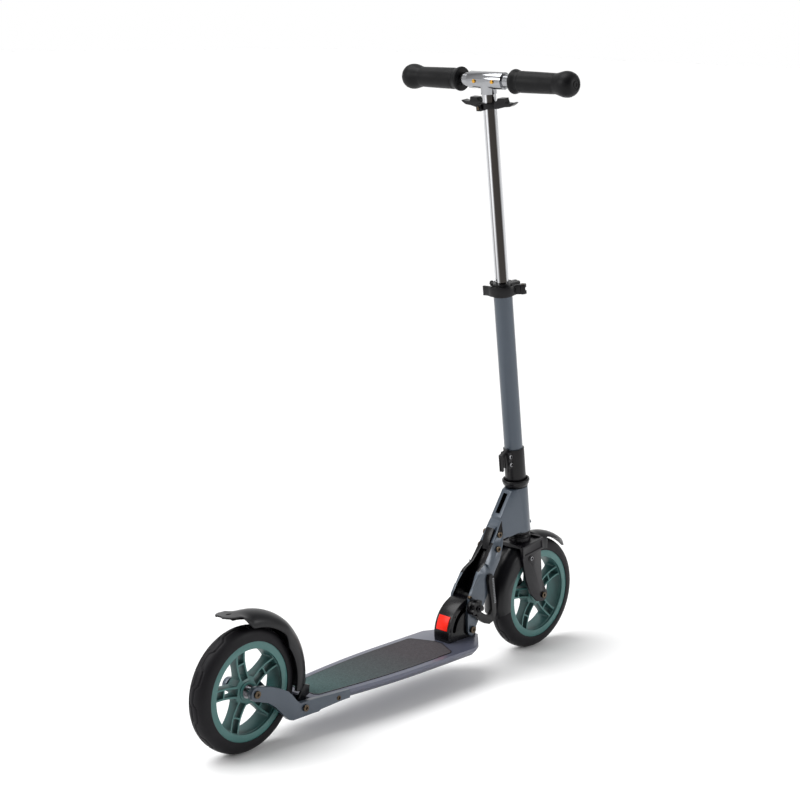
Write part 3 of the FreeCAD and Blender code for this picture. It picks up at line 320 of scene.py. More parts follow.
@dataclass(frozen=True)
class GritTape:
    """Anti-slip tape: crushed grit in resin, printed to fade from teal at the rear to brown-grey."""

    name: str = "grit_tape_faded_print"
    rear_colour: str = "#415857"
    middle_colour: str = "#404849"
    front_colour: str = "#3F3C3F"
    grit: float = 1.5 * MM          # 60-grit mineral is 0.3 mm, drawn coarser so that it shows
    speckle: float = 2.2 * MM

    def material(self, rear_x: float, front_x: float) -> bpy.types.Material:
        """Builds the finish.

        Args:
            rear_x: Where the print is all teal, in metres.
            front_x: Where it has faded to brown-grey, in metres.

        Returns:
            The material.
        """
        material, tree, shader = new_material(self.name)
        coordinates = add_node(tree, "ShaderNodeTexCoord")
        place = add_node(tree, "ShaderNodeSeparateXYZ", None, {"Vector": coordinates.outputs["Object"]})
        along = add_node(tree, "ShaderNodeMapRange", {"From Min": rear_x, "From Max": front_x},
                         {"Value": place.outputs["X"]})
        fade = add_node(tree, "ShaderNodeValToRGB", None, {"Fac": along.outputs["Result"]})
        ramp = fade.color_ramp
        ramp.elements[0].color = linear(self.rear_colour)
        ramp.elements[1].color = linear(self.front_colour)
        ramp.elements.new(0.5).color = linear(self.middle_colour)
        depth = add_node(tree, "ShaderNodeMapRange",
                         {"From Min": 0.3, "From Max": 0.7, "To Min": 0.78, "To Max": 1.22},
                         {"Value": add_noise(tree, self.speckle, 2.0)})
        speckled = add_node(tree, "ShaderNodeVectorMath", {"operation": "SCALE"},
                            {0: fade.outputs["Color"], "Scale": depth.outputs["Result"]})
        tree.links.new(speckled.outputs[0], shader.inputs["Base Color"])
        grit = add_node(tree, "ShaderNodeTexVoronoi", {"Scale": 1.0},
                        {"Vector": pattern_vector(tree, self.grit)})
        lay_bump(tree, shader, grit.outputs["Distance"], 0.6, 0.4 * MM)
        shader.inputs["Roughness"].default_value = 0.9
        shader.inputs["Specular IOR Level"].default_value = 0.25
        return material


@dataclass(frozen=True)
class CastUrethane:
    """Cast polyurethane: smooth, faintly waxy, with a soft broad highlight."""

    name: str = "cast_polyurethane_tyre"
    colour: str = "#1B1A1D"
    shade: str = "#161518"
    cloud: float = 12 * MM

    def material(self) -> bpy.types.Material:
        """Builds the finish."""
        material, tree, shader = new_material(self.name)
        clouds = add_noise(tree, self.cloud, 4.0)
        lay_tint(tree, shader, clouds, self.colour, self.shade)
        lay_roughness(tree, shader, clouds, 0.42, 0.6)
        shader.inputs["Specular IOR Level"].default_value = 0.14
        return material


@dataclass(frozen=True)
class PrismReflector:
    """Moulded red reflector: clear red over a field of small prisms, with a painted glow."""

    name: str = "red_prism_reflector"
    colour: str = "#F21E04"
    prism: float = 1.6 * MM

    def material(self) -> bpy.types.Material:
        """Builds the finish."""
        material, tree, shader = new_material(self.name)
        prisms = add_node(tree, "ShaderNodeTexChecker", {"Scale": 1.0},
                          {"Vector": pattern_vector(tree, self.prism)})
        lay_bump(tree, shader, prisms.outputs["Fac"], 0.4, 0.3 * MM)
        shader.inputs["Base Color"].default_value = linear(self.colour)
        shader.inputs["Roughness"].default_value = 0.3
        shader.inputs["Specular IOR Level"].default_value = 0.25
        # painted glow: a faint red emission, though the reflector is no lamp
        shader.inputs["Emission Color"].default_value = linear(self.colour)
        shader.inputs["Emission Strength"].default_value = 0.18
        return material


class Finish(Enum):
    """The finishes that the scooter's pieces are dressed in."""

    SLATE = PaintedMetal("slate_powder_coat", "#3F4955", "#3A444F", roughness=0.3, coat=0.3)
    DECK = PaintedMetal("slate_anodised_deck", "#595C6C", "#525564", roughness=0.34, metallic=0.4)
    FORK = PaintedMetal("dark_grey_powder_coat", "#131116", "#0F0D12", roughness=0.32, metallic=0.0, coat=0.1,
                        specular=0.2)
    # also painted into the neck's recess, the head tube's slot and its tongue, as shade
    BLOCK = PaintedMetal("black_powder_coat_and_painted_recess_shade", "#08070A", "#060508", roughness=0.26, metallic=0.0, coat=0.1,
                         specular=0.2)
    RIM = PaintedMetal("teal_moulded_rim", "#3D6E6B", "#386562", roughness=0.42, metallic=0.0, coat=0.1)
    # painted shade: a darker teal for the walls and floors of the rim's pockets, where shade falls
    RIM_POCKET = PaintedMetal("teal_rim_painted_pocket_shade", "#27504F", "#214645", roughness=0.5, metallic=0.0, coat=0.0)
    TYRE = CastUrethane()
    GUARD = MouldedPlastic("mudguard_nylon", "#141417", "#101013", roughness=0.3, specular=0.24)
    BLACK = MouldedPlastic("black_nylon", "#0E0D10", "#0A090C", roughness=0.3, specular=0.24)
    GRIP = MouldedPlastic("grip_rubber", "#0D0D0F", "#09090B", roughness=0.45, bump=0.35, specular=0.16)
    RIBBED = MouldedPlastic("grey_lever_pad", "#8A8C90", "#7C7E82", roughness=0.5)
    CHROME = PlatedMetal("chrome_plating", "#98999C", roughness=0.1, spread=0.05)
    CHROME_TUBE = ChromeTubePaintedReflections()
    STEEL = PlatedMetal("ground_bearing_steel", "#9A9A9D", roughness=0.25)
    BRASS = PlatedMetal("bronze_zinc_plating", "#54493C", roughness=0.25)
    BUTTON = PlatedMetal("polished_brass", "#CE9A3C", roughness=0.2)
    # also lines the bolts' hexagon sockets, as painted shade
    DARK_STEEL = PlatedMetal("black_oxide_steel_and_painted_socket_shade", "#1E1D20", roughness=0.38)
    REFLECTOR = PrismReflector()


_made: dict[Finish, bpy.types.Material] = {}


def material_of(finish: Finish) -> bpy.types.Material:
    """The one material of a finish, built when it is first asked for.

    Args:
        finish: The finish.

    Returns:
        Its material.
    """
    if finish not in _made:
        _made[finish] = finish.value.material()
    return _made[finish]


def dress(piece: bpy.types.Object, finish: Finish) -> None:
    """Gives a piece its one finish.

    Args:
        piece: The object to dress.
        finish: What it is made of.
    """
    piece.data.materials.clear()
    piece.data.materials.append(material_of(finish))


# ---------------------------------------------------------------- modelling helpers
def select_none() -> None:
    """Deselects everything."""
    bpy.ops.object.select_all(action="DESELECT")


def select_only(piece: bpy.types.Object) -> None:
    """Makes a piece the only selected and the active one."""
    select_none()
    piece.select_set(True)
    bpy.context.view_layer.objects.active = piece


def apply_modifiers(piece: bpy.types.Object) -> None:
    """Applies all of a piece's modifiers, in order."""
    select_only(piece)
    for name in [modifier.name for modifier in piece.modifiers]:
        bpy.ops.object.modifier_apply(modifier=name)


def add_bevel(piece: bpy.types.Object, width: float, segments: int, sharp: float) -> bpy.types.Modifier:
    """Adds a rounding of a piece's sharp edges.

    Args:
        piece: The object to round.
        width: Width of the rounding, in metres.
        segments: Faces across the rounding.
        sharp: Edges that turn more than this many degrees are rounded.

    Returns:
        The modifier, not yet applied.
    """
    rounding = piece.modifiers.new("rounding", "BEVEL")
    rounding.width = width
    rounding.segments = segments
    rounding.limit_method = "ANGLE"
    rounding.angle_limit = math.radians(sharp)
    return rounding


def copy_node(node: str, name: str) -> bpy.types.Object:
    """Copies a CAD node, welded and with its flat faces whole again.

    Args:
        node: The CAD node.
        name: The copy's name.

    Returns:
        The copy, selected and active.
    """
    piece = bpy.data.objects.new(name, frame["nodes"][node].data.copy())
    bpy.context.scene.collection.objects.link(piece)
    select_only(piece)
    bpy.ops.object.mode_set(mode="EDIT")
    bpy.ops.mesh.select_all(action="SELECT")
    bpy.ops.mesh.remove_doubles(threshold=WELD)
    bpy.ops.mesh.dissolve_limited(angle_limit=math.radians(0.4))
    bpy.ops.object.mode_set(mode="OBJECT")
    return piece


def slab_along(middle: Vector, along: Vector, size: tuple[float, float, float]) -> bpy.types.Object:
    """Stands a slab up so that its height runs along a line in the plane of the wheels.

    Args:
        middle: The slab's middle.
        along: Which way its height runs.
        size: Depth, width and height, in metres.

    Returns:
        The slab, with its place and turn in its mesh.
    """
    select_none()
    bpy.ops.mesh.primitive_cube_add(size=1.0, location=middle)
    slab = bpy.context.object
    slab.dimensions = size
    slab.rotation_euler = (0, math.atan2(along.x, along.z), 0)
    bpy.ops.object.transform_apply(location=True, rotation=True, scale=True)
    return slab


def body_of(node: str) -> str:
    """The body that a CAD node belongs to.

    Args:
        node: The node's name.

    Returns:
        The body's name.
    """
    bodies = frame["record"]["behaviour"]["bodies"]
    return next(body for body, members in bodies.items() if node in members)


def settle(piece: bpy.types.Object, node: str, finish: Finish | None) -> None:
    """Dresses a finished piece, and lets it ride in place of its CAD node.

    Args:
        piece: The finished piece, with its place in its mesh.
        node: The CAD node that it stands for.
        finish: What it is made of, or None if it is dressed already.
    """
    select_only(piece)
    bpy.ops.object.transform_apply(location=True, rotation=True, scale=True)
    if finish is not None:
        dress(piece, finish)
    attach(piece, body_of(node))
    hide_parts(node)
    LOG.info("%s: %d faces", piece.name, len(piece.data.polygons))


def edged(node: str, finish: Finish, width: float, segments: int = 2,
          sharp: float = 32.0) -> bpy.types.Object:
    """Copies a CAD node and rounds its sharp edges, as casting, tumbling or moulding does.

    Args:
        node: The CAD node.
        finish: What it is made of.
        width: Width of the rounding, in metres.
        segments: Faces across the rounding.
        sharp: Edges that turn more than this many degrees are rounded.

    Returns:
        The finished piece.
    """
    piece = copy_node(node, node + "_edged")
    add_bevel(piece, width, segments, sharp).miter_outer = "MITER_ARC"
    apply_modifiers(piece)
    bpy.ops.object.shade_smooth_by_angle(angle=math.radians(sharp))
    settle(piece, node, finish)
    return piece


def repaint(piece: bpy.types.Object, finish: Finish,
            chosen: Callable[[bpy.types.MeshPolygon], bool]) -> None:
    """Gives some of a piece's faces a second finish.

    Args:
        piece: The dressed piece.
        finish: What the chosen faces are made of or coated with.
        chosen: Tells whether a face gets it.
    """
    piece.data.materials.append(material_of(finish))
    slot = len(piece.data.materials) - 1
    for face in piece.data.polygons:
        if chosen(face):
            face.material_index = slot


def carve(piece: bpy.types.Object, cutter: bpy.types.Object, finish: Finish) -> None:
    """Cuts a shape out of a piece, and lines the cut with a finish of its own.

    Args:
        piece: The dressed piece.
        cutter: What is taken away. It is removed afterwards.
        finish: The finish of the faces that the cut leaves.
    """
    dress(cutter, finish)
    cut = piece.modifiers.new("cut", "BOOLEAN")
    cut.operation = "DIFFERENCE"
    cut.solver = "EXACT"
    cut.material_mode = "TRANSFER"
    cut.object = cutter
    apply_modifiers(piece)
    bpy.data.objects.remove(cutter, do_unlink=True)


def dress_node(node: str, finish: Finish) -> None:
    """Gives a CAD node whose shape is right its real finish.

    Args:
        node: The CAD node.
        finish: What it is made of.
    """
    dress(frame["nodes"][node], finish)
    LOG.info("%s: as designed", node)


def blend(value: float) -> float:
    """Eases from nought to one as a value goes from nought to one."""
    held = max(0.0, min(1.0, value))
    return held * held * (3 - 2 * held)


def weigh(piece: bpy.types.Object, group: str, weight: Callable[[Vector], float]) -> None:
    """Paints a vertex group by place.

    Args:
        piece: The mesh to paint.
        group: The group's name.
        weight: Gives the weight, nought to one, of a point in the row frame.
    """
    painted = piece.vertex_groups.new(name=group)
    for vertex in piece.data.vertices:
        value = weight(vertex.co)
        if value > 0.001:
            painted.add([vertex.index], value, "REPLACE")


# ---------------------------------------------------------------- wheels
@dataclass
class Wheel:
    """A wheel: tyre with a meandering tread band, cast rim with painted shade in its pockets, and bright
    bearings and sleeve.
    """

    end: str
    pocket_half: float = 5.0 * MM   # the rim's faces this near its middle plane lie in its pockets
    wall_facing: float = 0.45       # a face that looks less than this much sideways is a wall
    band_half: float = 4.6 * MM
    band_swing: float = 3.6 * MM
    groove_half: float = 1.3 * MM
    groove_depth: float = 1.8 * MM
    steepness: float = 1.8          # above one, the groove has a flat floor
    meanders: int = 11
    squareness: float = 3.0         # how abruptly the band changes sides
    overlap: float = 0.5 * MM       # the tyre's foot reaches this far into the rim
    shoulder: float = 0.045         # how much fuller than round the shoulders are, as a share
    around: int = 660
    across: int = 84

    def tread(self, spot: Vector) -> float:
        """How deep the tread is cut.

        Args:
            spot: A place counted from the wheel's centre.

        Returns:
            Nought where it is uncut, one at the groove's full depth.
        """
        angle = math.atan2(spot.z, spot.x)
        swing = math.tanh(self.squareness * math.sin(self.meanders * angle)) * self.band_swing
        from_edge = abs(abs(spot.y - swing) - self.band_half)
        depth = max(0.0, 1.0 - from_edge / self.groove_half)
        return min(1.0, self.steepness * depth)

    def build_section(self, low: Vector, high: Vector) -> bpy.types.Object:
        """Draws the tyre's section: round, with full shoulders and a flat foot in the rim.

        Args:
            low: The lower corner of the tyre's box.
            high: Its upper corner.

        Returns:
            The section, an outline above the wheel's centre.
        """
        rim_low, rim_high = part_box(self.end + "_rim")
        centre = (low + high) / 2
        half = (high.y - low.y) / 2
        seat = (rim_high.z - rim_low.z) / 2 - self.overlap
        middle = (high.z - low.z) / 2 - half
        select_none()
        bpy.ops.mesh.primitive_circle_add(vertices=self.across, radius=half, fill_type="NOTHING",
                                          location=centre + Vector((0, 0, middle)),
                                          rotation=(0, math.pi / 2, 0))
        section = bpy.context.object
        bpy.ops.object.transform_apply(location=True, rotation=True, scale=True)
        for vertex in section.data.vertices:
            across = (vertex.co.y - centre.y) / half
            fullness = 1.0 + self.shoulder * math.sin(2 * math.acos(max(-1.0, min(1.0, across)))) ** 2
            rise = (vertex.co.z - centre.z - middle) * fullness
            reach = max(seat, middle + min(rise, half))
            vertex.co.z = centre.z + reach
            vertex.co.y = centre.y + max(-half, min(half, across * half * fullness))
        return section

    def build_tyre(self) -> None:
        """Spins the tyre's section and cuts the tread into it."""
        node = self.end + "_tyre"
        low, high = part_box(node)
        centre = (low + high) / 2
        piece = self.build_section(low, high)
        piece.name = node + "_treaded"
        bpy.ops.object.mode_set(mode="EDIT")
        bpy.ops.mesh.select_all(action="SELECT")
        bpy.ops.mesh.spin(steps=self.around, angle=2 * math.pi, center=centre, axis=(0, 1, 0))
        bpy.ops.mesh.select_all(action="SELECT")
        bpy.ops.mesh.remove_doubles(threshold=2 * WELD)
        bpy.ops.mesh.normals_make_consistent(inside=False)
        bpy.ops.object.mode_set(mode="OBJECT")
        weigh(piece, "tread", lambda point: self.tread(point - centre))
        cut = piece.modifiers.new("tread", "DISPLACE")
        cut.strength = -self.groove_depth
        cut.mid_level = 0.0
        cut.vertex_group = "tread"
        apply_modifiers(piece)
        bpy.ops.object.shade_smooth()
        settle(piece, node, Finish.TYRE)

    def gets_pocket_shade(self, face: bpy.types.MeshPolygon) -> bool:
        """Whether a face of the rim is a wall or a floor of the pockets between its ribs, and so gets the
        painted pocket shade.
        """
        return abs(face.normal.y) < self.wall_facing or abs(face.center.y) < self.pocket_half

    def build(self) -> None:
        """Builds and dresses the whole wheel."""
        self.build_tyre()
        rim = edged(self.end + "_rim", Finish.RIM, 0.7 * MM)
        # the pockets' walls and floors get the darker teal as painted shade
        repaint(rim, Finish.RIM_POCKET, self.gets_pocket_shade)
        dress_node(self.end + "_wheel_bearings", Finish.STEEL)
        dress_node(self.end + "_bearing_sleeve", Finish.STEEL)


# ---------------------------------------------------------------- fasteners
@dataclass
class SocketBolt:
    """A bolt along Y whose outer heads have hexagon sockets, painted dark inside as shade."""

    node: str
    finish: Finish
    socket_half: float = 2.4 * MM
    socket_depth: float = 1.6 * MM
    parting: float = 6 * MM         # bolts of one node lie further apart than this, one above the other
    widest: float = 16 * MM         # an end wider than this isn't a head
    flatness: float = 0.05 * MM     # an end face's points lie this near its plane

    def bolts(self) -> list[list[Vector]]:
        """Splits the node's vertices into its separate bolts, from the lowest up."""
        mesh = frame["nodes"][self.node].data
        spots = sorted((vertex.co for vertex in mesh.vertices), key=lambda spot: spot.z)
        groups = [[spots[0]]]
        for spot in spots[1:]:
            if spot.z - groups[-1][-1].z > self.parting:
                groups.append([])
            groups[-1].append(spot)
        return groups

    def head_centres(self) -> list[Vector]:
        """Finds the middle of the end face of each head that the node's bolts show."""
        centres: list[Vector] = []
        for bolt in self.bolts():
            reach = max(abs(spot.y) for spot in bolt)
            for side in (-1, 1):
                face = [spot for spot in bolt if abs(spot.y - side * reach) < self.flatness]
                if not face:
                    continue
                low = Vector(min(spot[axis] for spot in face) for axis in range(3))
                high = Vector(max(spot[axis] for spot in face) for axis in range(3))
                if max(high.x - low.x, high.z - low.z) < self.widest:
                    centres.append((low + high) / 2)
        return centres

    def build(self) -> None:
        """Rounds the heads and carves a hexagon socket into each, lined dark as painted shade."""
        piece = edged(self.node, self.finish, 0.5 * MM)
        for centre in self.head_centres():
            select_none()
            bpy.ops.mesh.primitive_cylinder_add(vertices=6, radius=self.socket_half / math.cos(math.pi / 6),
                                                depth=2 * self.socket_depth, location=centre,
                                                rotation=(math.pi / 2, 0, 0))
            # the socket's walls and floor take the dark finish as painted shade
            carve(piece, bpy.context.object, Finish.DARK_STEEL)


# ---------------------------------------------------------------- sub-assemblies
@dataclass
class Deck:
    """Extruded deck with its tape, two arms to the rear wheel, and their screws."""

    edge: float = 2.4 * MM
    tape_border: float = 1.4 * MM
    tape_sink: float = 0.2 * MM
    fade: float = 0.75              # the print has faded this far along the tape

    def build_tape(self) -> None:
        """Copies the tape, and insets its top so that a worn dark border shows."""
        node = "grip_tape"
        low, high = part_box(node)
        piece = copy_node(node, "grip_tape_sheet")
        bpy.ops.object.mode_set(mode="EDIT")
        bpy.ops.mesh.select_all(action="DESELECT")
        bpy.ops.object.mode_set(mode="OBJECT")
        for face in piece.data.polygons:
            face.select = face.normal.z > 0.9
        dress(piece, Finish.BLACK)
        piece.data.materials.append(GritTape().material(low.x, low.x + self.fade * (high.x - low.x)))
        bpy.ops.object.mode_set(mode="EDIT")
        bpy.context.tool_settings.mesh_select_mode = (False, False, True)
        bpy.ops.mesh.inset(thickness=self.tape_border, depth=-self.tape_sink)
        piece.active_material_index = 1
        bpy.ops.object.material_slot_assign()
        bpy.ops.object.mode_set(mode="OBJECT")
        settle(piece, node, None)

    def build(self) -> None:
        """Builds and dresses the deck's pieces."""
        edged("deck", Finish.DECK, self.edge, segments=4)
        self.build_tape()
        for side in ("left", "right"):
            edged("rear_arm_" + side, Finish.SLATE, 1.6 * MM, segments=3)
        SocketBolt("rear_arm_screws", Finish.BRASS).build()
        SocketBolt("rear_axle", Finish.BRASS).build()
        SocketBolt("brake_pivot_pin", Finish.BRASS).build()
        dress_node("rear_axle_spacers", Finish.STEEL)
        dress_node("brake_spring", Finish.STEEL)


@dataclass
class RearBrake:
    """Mudguard with its foot tail, the wear plate and the rivet."""

    crown: float = 122 * MM         # top of the shell, from the wheel's centre
    half: float = 23.5 * MM
    wall: float = 2.5 * MM
    foot_angle: float = -13.0       # degrees, from straight ahead
    top_angle: float = 90.0
    tail: float = 44.6 * MM         # runs on flat past the top
    tail_rise: float = 2.0 * MM
    pad_centre: float = 26 * MM
    pad_half: float = 17.5 * MM
    tip_taper: float = 0.88         # one would bring the tip to a point
    skirt_top: float = 20 * MM
    skirt_more: float = 10 * MM     # the sides are this much deeper low down
    skirt_pad: float = 0.6 * MM
    low_from: float = 50.0          # degrees, where the sides begin to deepen
    low_over: float = 16.0          # degrees that the deepening takes
    pad_before: float = 4 * MM      # the sides begin to vanish this far before the top
    pad_over: float = 24 * MM       # and vanish over this length
    slot_half: float = 2.4 * MM
    slot_stretch: float = 2.3       # the slot's length over its width
    slot_back: float = 27.5 * MM    # behind the wheel's centre
    slot_through: float = 20 * MM
    lug_below: float = 8 * MM       # the lugs lie this far under the wheel's centre and lower
    stations: int = 96
    across: int = 24

    @property
    def hub(self) -> Vector:
        """The rear wheel's centre."""
        low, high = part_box("rear_rim")
        return (low + high) / 2

    @property
    def arc(self) -> float:
        """Length of the crown line from the foot to the top."""
        return math.radians(self.top_angle - self.foot_angle) * self.crown

    def spine(self, run: float) -> tuple[float, float]:
        """Places a point of the crown line.

        Args:
            run: How far along the line it lies, from the foot.

        Returns:
            How far ahead of the wheel's centre it is, and how far above.
        """
        if run < self.arc:
            angle = math.radians(self.foot_angle) + run / self.crown
            return self.crown * math.cos(angle), self.crown * math.sin(angle)
        past = run - self.arc
        return -past, self.crown + self.tail_rise * (past / self.tail) ** 2

    def half_width(self, past: float) -> float:
        """Half the shell's width; the tail narrows and ends in a rounded pad.

        Args:
            past: Distance past the top, not below nought.

        Returns:
            Half the width, in metres.
        """
        if past < self.pad_centre:
            narrowing = blend(past / self.pad_centre)
            return self.half + (self.pad_half - self.half) * narrowing
        toward_end = (past - self.pad_centre) / (self.tail - self.pad_centre)
        return self.pad_half * math.sqrt(1 - self.tip_taper * toward_end ** 2.5)

    def skirt(self, angle: float, past: float) -> float:
        """How far the sides drop: deepest low down, shallower over the top, nearly flat at the pad.

        Args:
            angle: Where the point lies round the wheel, in degrees from straight ahead.
            past: Its distance past the top, below nought before it.

        Returns:
            The drop, in metres.
        """
        deep = self.skirt_top + self.skirt_more * blend((self.low_from - angle) / self.low_over)
        return deep + (self.skirt_pad - deep) * blend((past + self.pad_before) / self.pad_over)

    def bend(self, sheet: bpy.types.Object) -> None:
        """Bends a flat two-by-two grid over the wheel, into the shell's outer face."""
        hub = self.hub
        whole = self.arc + self.tail
        for vertex in sheet.data.vertices:
            run = whole * (1 - (1 - (vertex.co.x + 1) / 2) ** 1.5)      # stations crowd towards the tip
            side = vertex.co.y
            past = run - self.arc
            angle = self.foot_angle + math.degrees(min(run, self.arc) / self.crown)
            ahead, up = self.spine(run)
            drop = self.skirt(angle, past) * (1 - math.cos(math.pi / 2 * abs(side)) ** 0.85)
            outward = math.radians(angle)
            vertex.co.x = hub.x + ahead - drop * math.cos(outward)
            vertex.co.z = hub.z + up - drop * math.sin(outward)
            vertex.co.y = self.half_width(max(past, 0.0)) * math.sin(math.pi / 2 * side)

    def thicken(self, sheet: bpy.types.Object) -> None:
        """Gives the bent sheet its wall and rounds its edges."""
        thick = sheet.modifiers.new("wall", "SOLIDIFY")
        thick.thickness = self.wall
        thick.offset = -1.0
        add_bevel(sheet, 0.8 * MM, 2, 50)
        apply_modifiers(sheet)
        bpy.ops.object.mode_set(mode="EDIT")
        bpy.ops.mesh.select_all(action="SELECT")
        bpy.ops.mesh.normals_make_consistent(inside=False)
        bpy.ops.object.mode_set(mode="OBJECT")

    def cut_slot(self, shell: bpy.types.Object) -> None:
        """Cuts the small slot through the tail's pad."""
        select_none()
        bpy.ops.mesh.primitive_cylinder_add(vertices=32, radius=self.slot_half, depth=self.slot_through,
                                            location=self.hub + Vector((-self.slot_back, 0, self.crown)))
        slot = bpy.context.object
        slot.scale = (self.slot_stretch, 1.0, 1.0)
        bpy.ops.object.transform_apply(location=False, rotation=False, scale=True)
        carve(shell, slot, Finish.BLACK)

    def build_shell(self) -> bpy.types.Object:
        """Shapes the mudguard's shell.

        Returns:
            The shell, dressed, without the lugs that carry it.
        """
        select_none()
        bpy.ops.mesh.primitive_grid_add(x_subdivisions=self.stations, y_subdivisions=self.across, size=2)
        shell = bpy.context.object
        shell.name = "rear_mudguard_shell"
        self.bend(shell)
        self.thicken(shell)
        dress(shell, Finish.GUARD)
        self.cut_slot(shell)
        select_only(shell)
        bpy.ops.object.shade_smooth_by_angle(angle=math.radians(40))
        return shell

    def build_guard(self) -> None:
        """Joins the shell to the CAD mudguard's two lugs."""
        lugs = edged("rear_mudguard", Finish.GUARD, 0.8 * MM)
        shell = self.build_shell()
        lug_top = self.hub.z - self.lug_below
        select_only(lugs)
        for face in lugs.data.polygons:
            face.select = face.center.z >= lug_top
        bpy.ops.object.mode_set(mode="EDIT")
        bpy.context.tool_settings.mesh_select_mode = (False, False, True)
        bpy.ops.mesh.delete(type="FACE")
        bpy.ops.object.mode_set(mode="OBJECT")
        shell.select_set(True)
        bpy.ops.object.join()
        lugs.name = "rear_mudguard_sculpted"

    def build(self) -> None:
        """Builds and dresses the brake's pieces."""
        self.build_guard()
        dress_node("brake_wear_plate", Finish.STEEL)
        edged("mudguard_rivet", Finish.DARK_STEEL, 0.5 * MM)


@dataclass
class FoldBlock:
    """Black block with its red reflector, bolts and fold pivot."""

    def build(self) -> None:
        """Builds and dresses the block's pieces."""
        edged("fold_block", Finish.BLOCK, 1.0 * MM, segments=3)
        edged("rear_reflector", Finish.REFLECTOR, 0.4 * MM)
        edged("fold_block_bolts", Finish.DARK_STEEL, 0.3 * MM)
        SocketBolt("fold_pivot_bolt", Finish.BRASS).build()


@dataclass
class Neck:
    """Forked neck arm, head tube, their bolts and the lock's knob, skewer and lever."""

    slot_foot: tuple[float, float, float] = (0.2475, 0.0, 0.2632)
    slot_head: tuple[float, float, float] = (0.2684, 0.0, 0.2947)
    slot_width: float = 9 * MM
    slot_depth: float = 8 * MM
    rib_foot: tuple[float, float, float] = (0.2150, 0.0, 0.1157)
    rib_top: tuple[float, float, float] = (0.2072, 0.0, 0.1600)
    rib_count: int = 16
    rib_size: tuple[float, float, float] = (4.6 * MM, 1.2 * MM, 1.5 * MM)
    recess_half: float = 16.4 * MM
    recess_top: float = 0.238
    tongue_half: float = 8.6 * MM
    tongue_front: float = 0.232

    def in_shaded_recess(self, face: bpy.types.MeshPolygon) -> bool:
        """Whether a face of the neck arm lies inside its rear recess, where black is painted as shade."""
        return abs(face.center.y) < self.recess_half and face.center.z < self.recess_top

    def on_shaded_tongue(self, face: bpy.types.MeshPolygon) -> bool:
        """Whether a face of the head tube lies on the tongue that the neck arm holds, which is painted black
        as shade.
        """
        return abs(face.center.y) < self.tongue_half and face.center.x < self.tongue_front

    def rib_lever(self, lever: bpy.types.Object) -> None:
        """Lays a strip of light ribs along the outer face of the lever's finger blade."""
        face_y = min(vertex.co.y for vertex in lever.data.vertices)
        foot, top = Vector(self.rib_foot), Vector(self.rib_top)
        step = (top - foot) / (self.rib_count - 1)
        ribs = slab_along(Vector((foot.x, face_y, foot.z)), step, self.rib_size)
        soft = ribs.modifiers.new("soft", "BEVEL")
        soft.width = 0.4 * MM
        soft.segments = 3
        row = ribs.modifiers.new("row", "ARRAY")
        row.count = self.rib_count
        row.use_relative_offset = False
        row.use_constant_offset = True
        row.constant_offset_displace = (step.x, 0, step.z)
        apply_modifiers(ribs)
        dress(ribs, Finish.RIBBED)
        select_only(lever)
        ribs.select_set(True)
        bpy.ops.object.join()

    def cut_slot(self, head: bpy.types.Object) -> None:
        """Sinks the long lightening slot into the rear of the head tube's wedge, and paints its inside black
        as shade.
        """
        foot, top = Vector(self.slot_foot), Vector(self.slot_head)
        along = top - foot
        cutter = slab_along((foot + top) / 2, along, (2 * self.slot_depth, self.slot_width, along.length))
        carve(head, cutter, Finish.BLOCK)

    def build(self) -> None:
        """Builds and dresses the neck's pieces."""
        arm = edged("neck_arm", Finish.SLATE, 1.2 * MM, segments=3)
        # the recess's inner faces are painted black as shade
        repaint(arm, Finish.BLOCK, self.in_shaded_recess)
        head = edged("head_tube", Finish.SLATE, 1.2 * MM, segments=3)
        self.cut_slot(head)
        # the tongue inside the recess is painted black as shade
        repaint(head, Finish.BLOCK, self.on_shaded_tongue)
        SocketBolt("neck_bolts", Finish.BRASS).build()
        dress_node("headset_bearings", Finish.STEEL)
        SocketBolt("lock_skewer", Finish.DARK_STEEL).build()
        SocketBolt("lock_stop_screw", Finish.BRASS).build()
        edged("lock_knob", Finish.BLACK, 1.0 * MM, segments=3)
        self.rib_lever(edged("lock_lever", Finish.BLACK, 1.2 * MM, segments=3))


@dataclass
class Steering:
    """Fork, headset rings, painted tube, base collar and front mudguard."""

    def build(self) -> None:
        """Builds and dresses the steering's pieces."""
        edged("fork", Finish.FORK, 1.0 * MM, segments=3)
        edged("lower_headset_ring", Finish.BLACK, 0.6 * MM)
        edged("upper_headset_ring", Finish.BLACK, 0.6 * MM)
        dress_node("steerer_tube", Finish.DARK_STEEL)
        dress_node("outer_column", Finish.SLATE)
        edged("base_collar", Finish.BLACK, 0.9 * MM, segments=3)
        SocketBolt("collar_screws", Finish.STEEL).build()
        SocketBolt("front_axle", Finish.BRASS).build()
        dress_node("front_axle_spacers", Finish.STEEL)
        edged("front_mudguard", Finish.GUARD, 0.7 * MM)
        SocketBolt("front_mudguard_screws", Finish.STEEL).build()
        dress_node("column_top_bush", Finish.BLACK)
        edged("clamp_collar", Finish.BLACK, 0.8 * MM)
        SocketBolt("clamp_skewer", Finish.BRASS).build()
        edged("clamp_lever", Finish.BLACK, 0.8 * MM)


@dataclass
class Handlebar:
    """Chrome tube and T sleeve, the two bars with their grips and buttons, and the grip clip."""

    def build(self) -> None:
        """Builds and dresses the handlebar's pieces."""
        # the chrome tube's dark streaks are painted reflections
        dress_node("inner_column", Finish.CHROME_TUBE)
        dress_node("column_foot_bush", Finish.BLACK)
        edged("t_sleeve", Finish.CHROME, 0.5 * MM)
        edged("grip_clip", Finish.BLACK, 0.8 * MM, segments=3)
        SocketBolt("grip_clip_screw", Finish.BRASS).build()
        for side in ("left", "right"):
            dress_node("handlebar_" + side, Finish.CHROME)
            dress_node("grip_" + side, Finish.GRIP)
            edged("snap_button_" + side, Finish.BUTTON, 0.6 * MM, segments=3)
            dress_node("button_spring_" + side, Finish.STEEL)


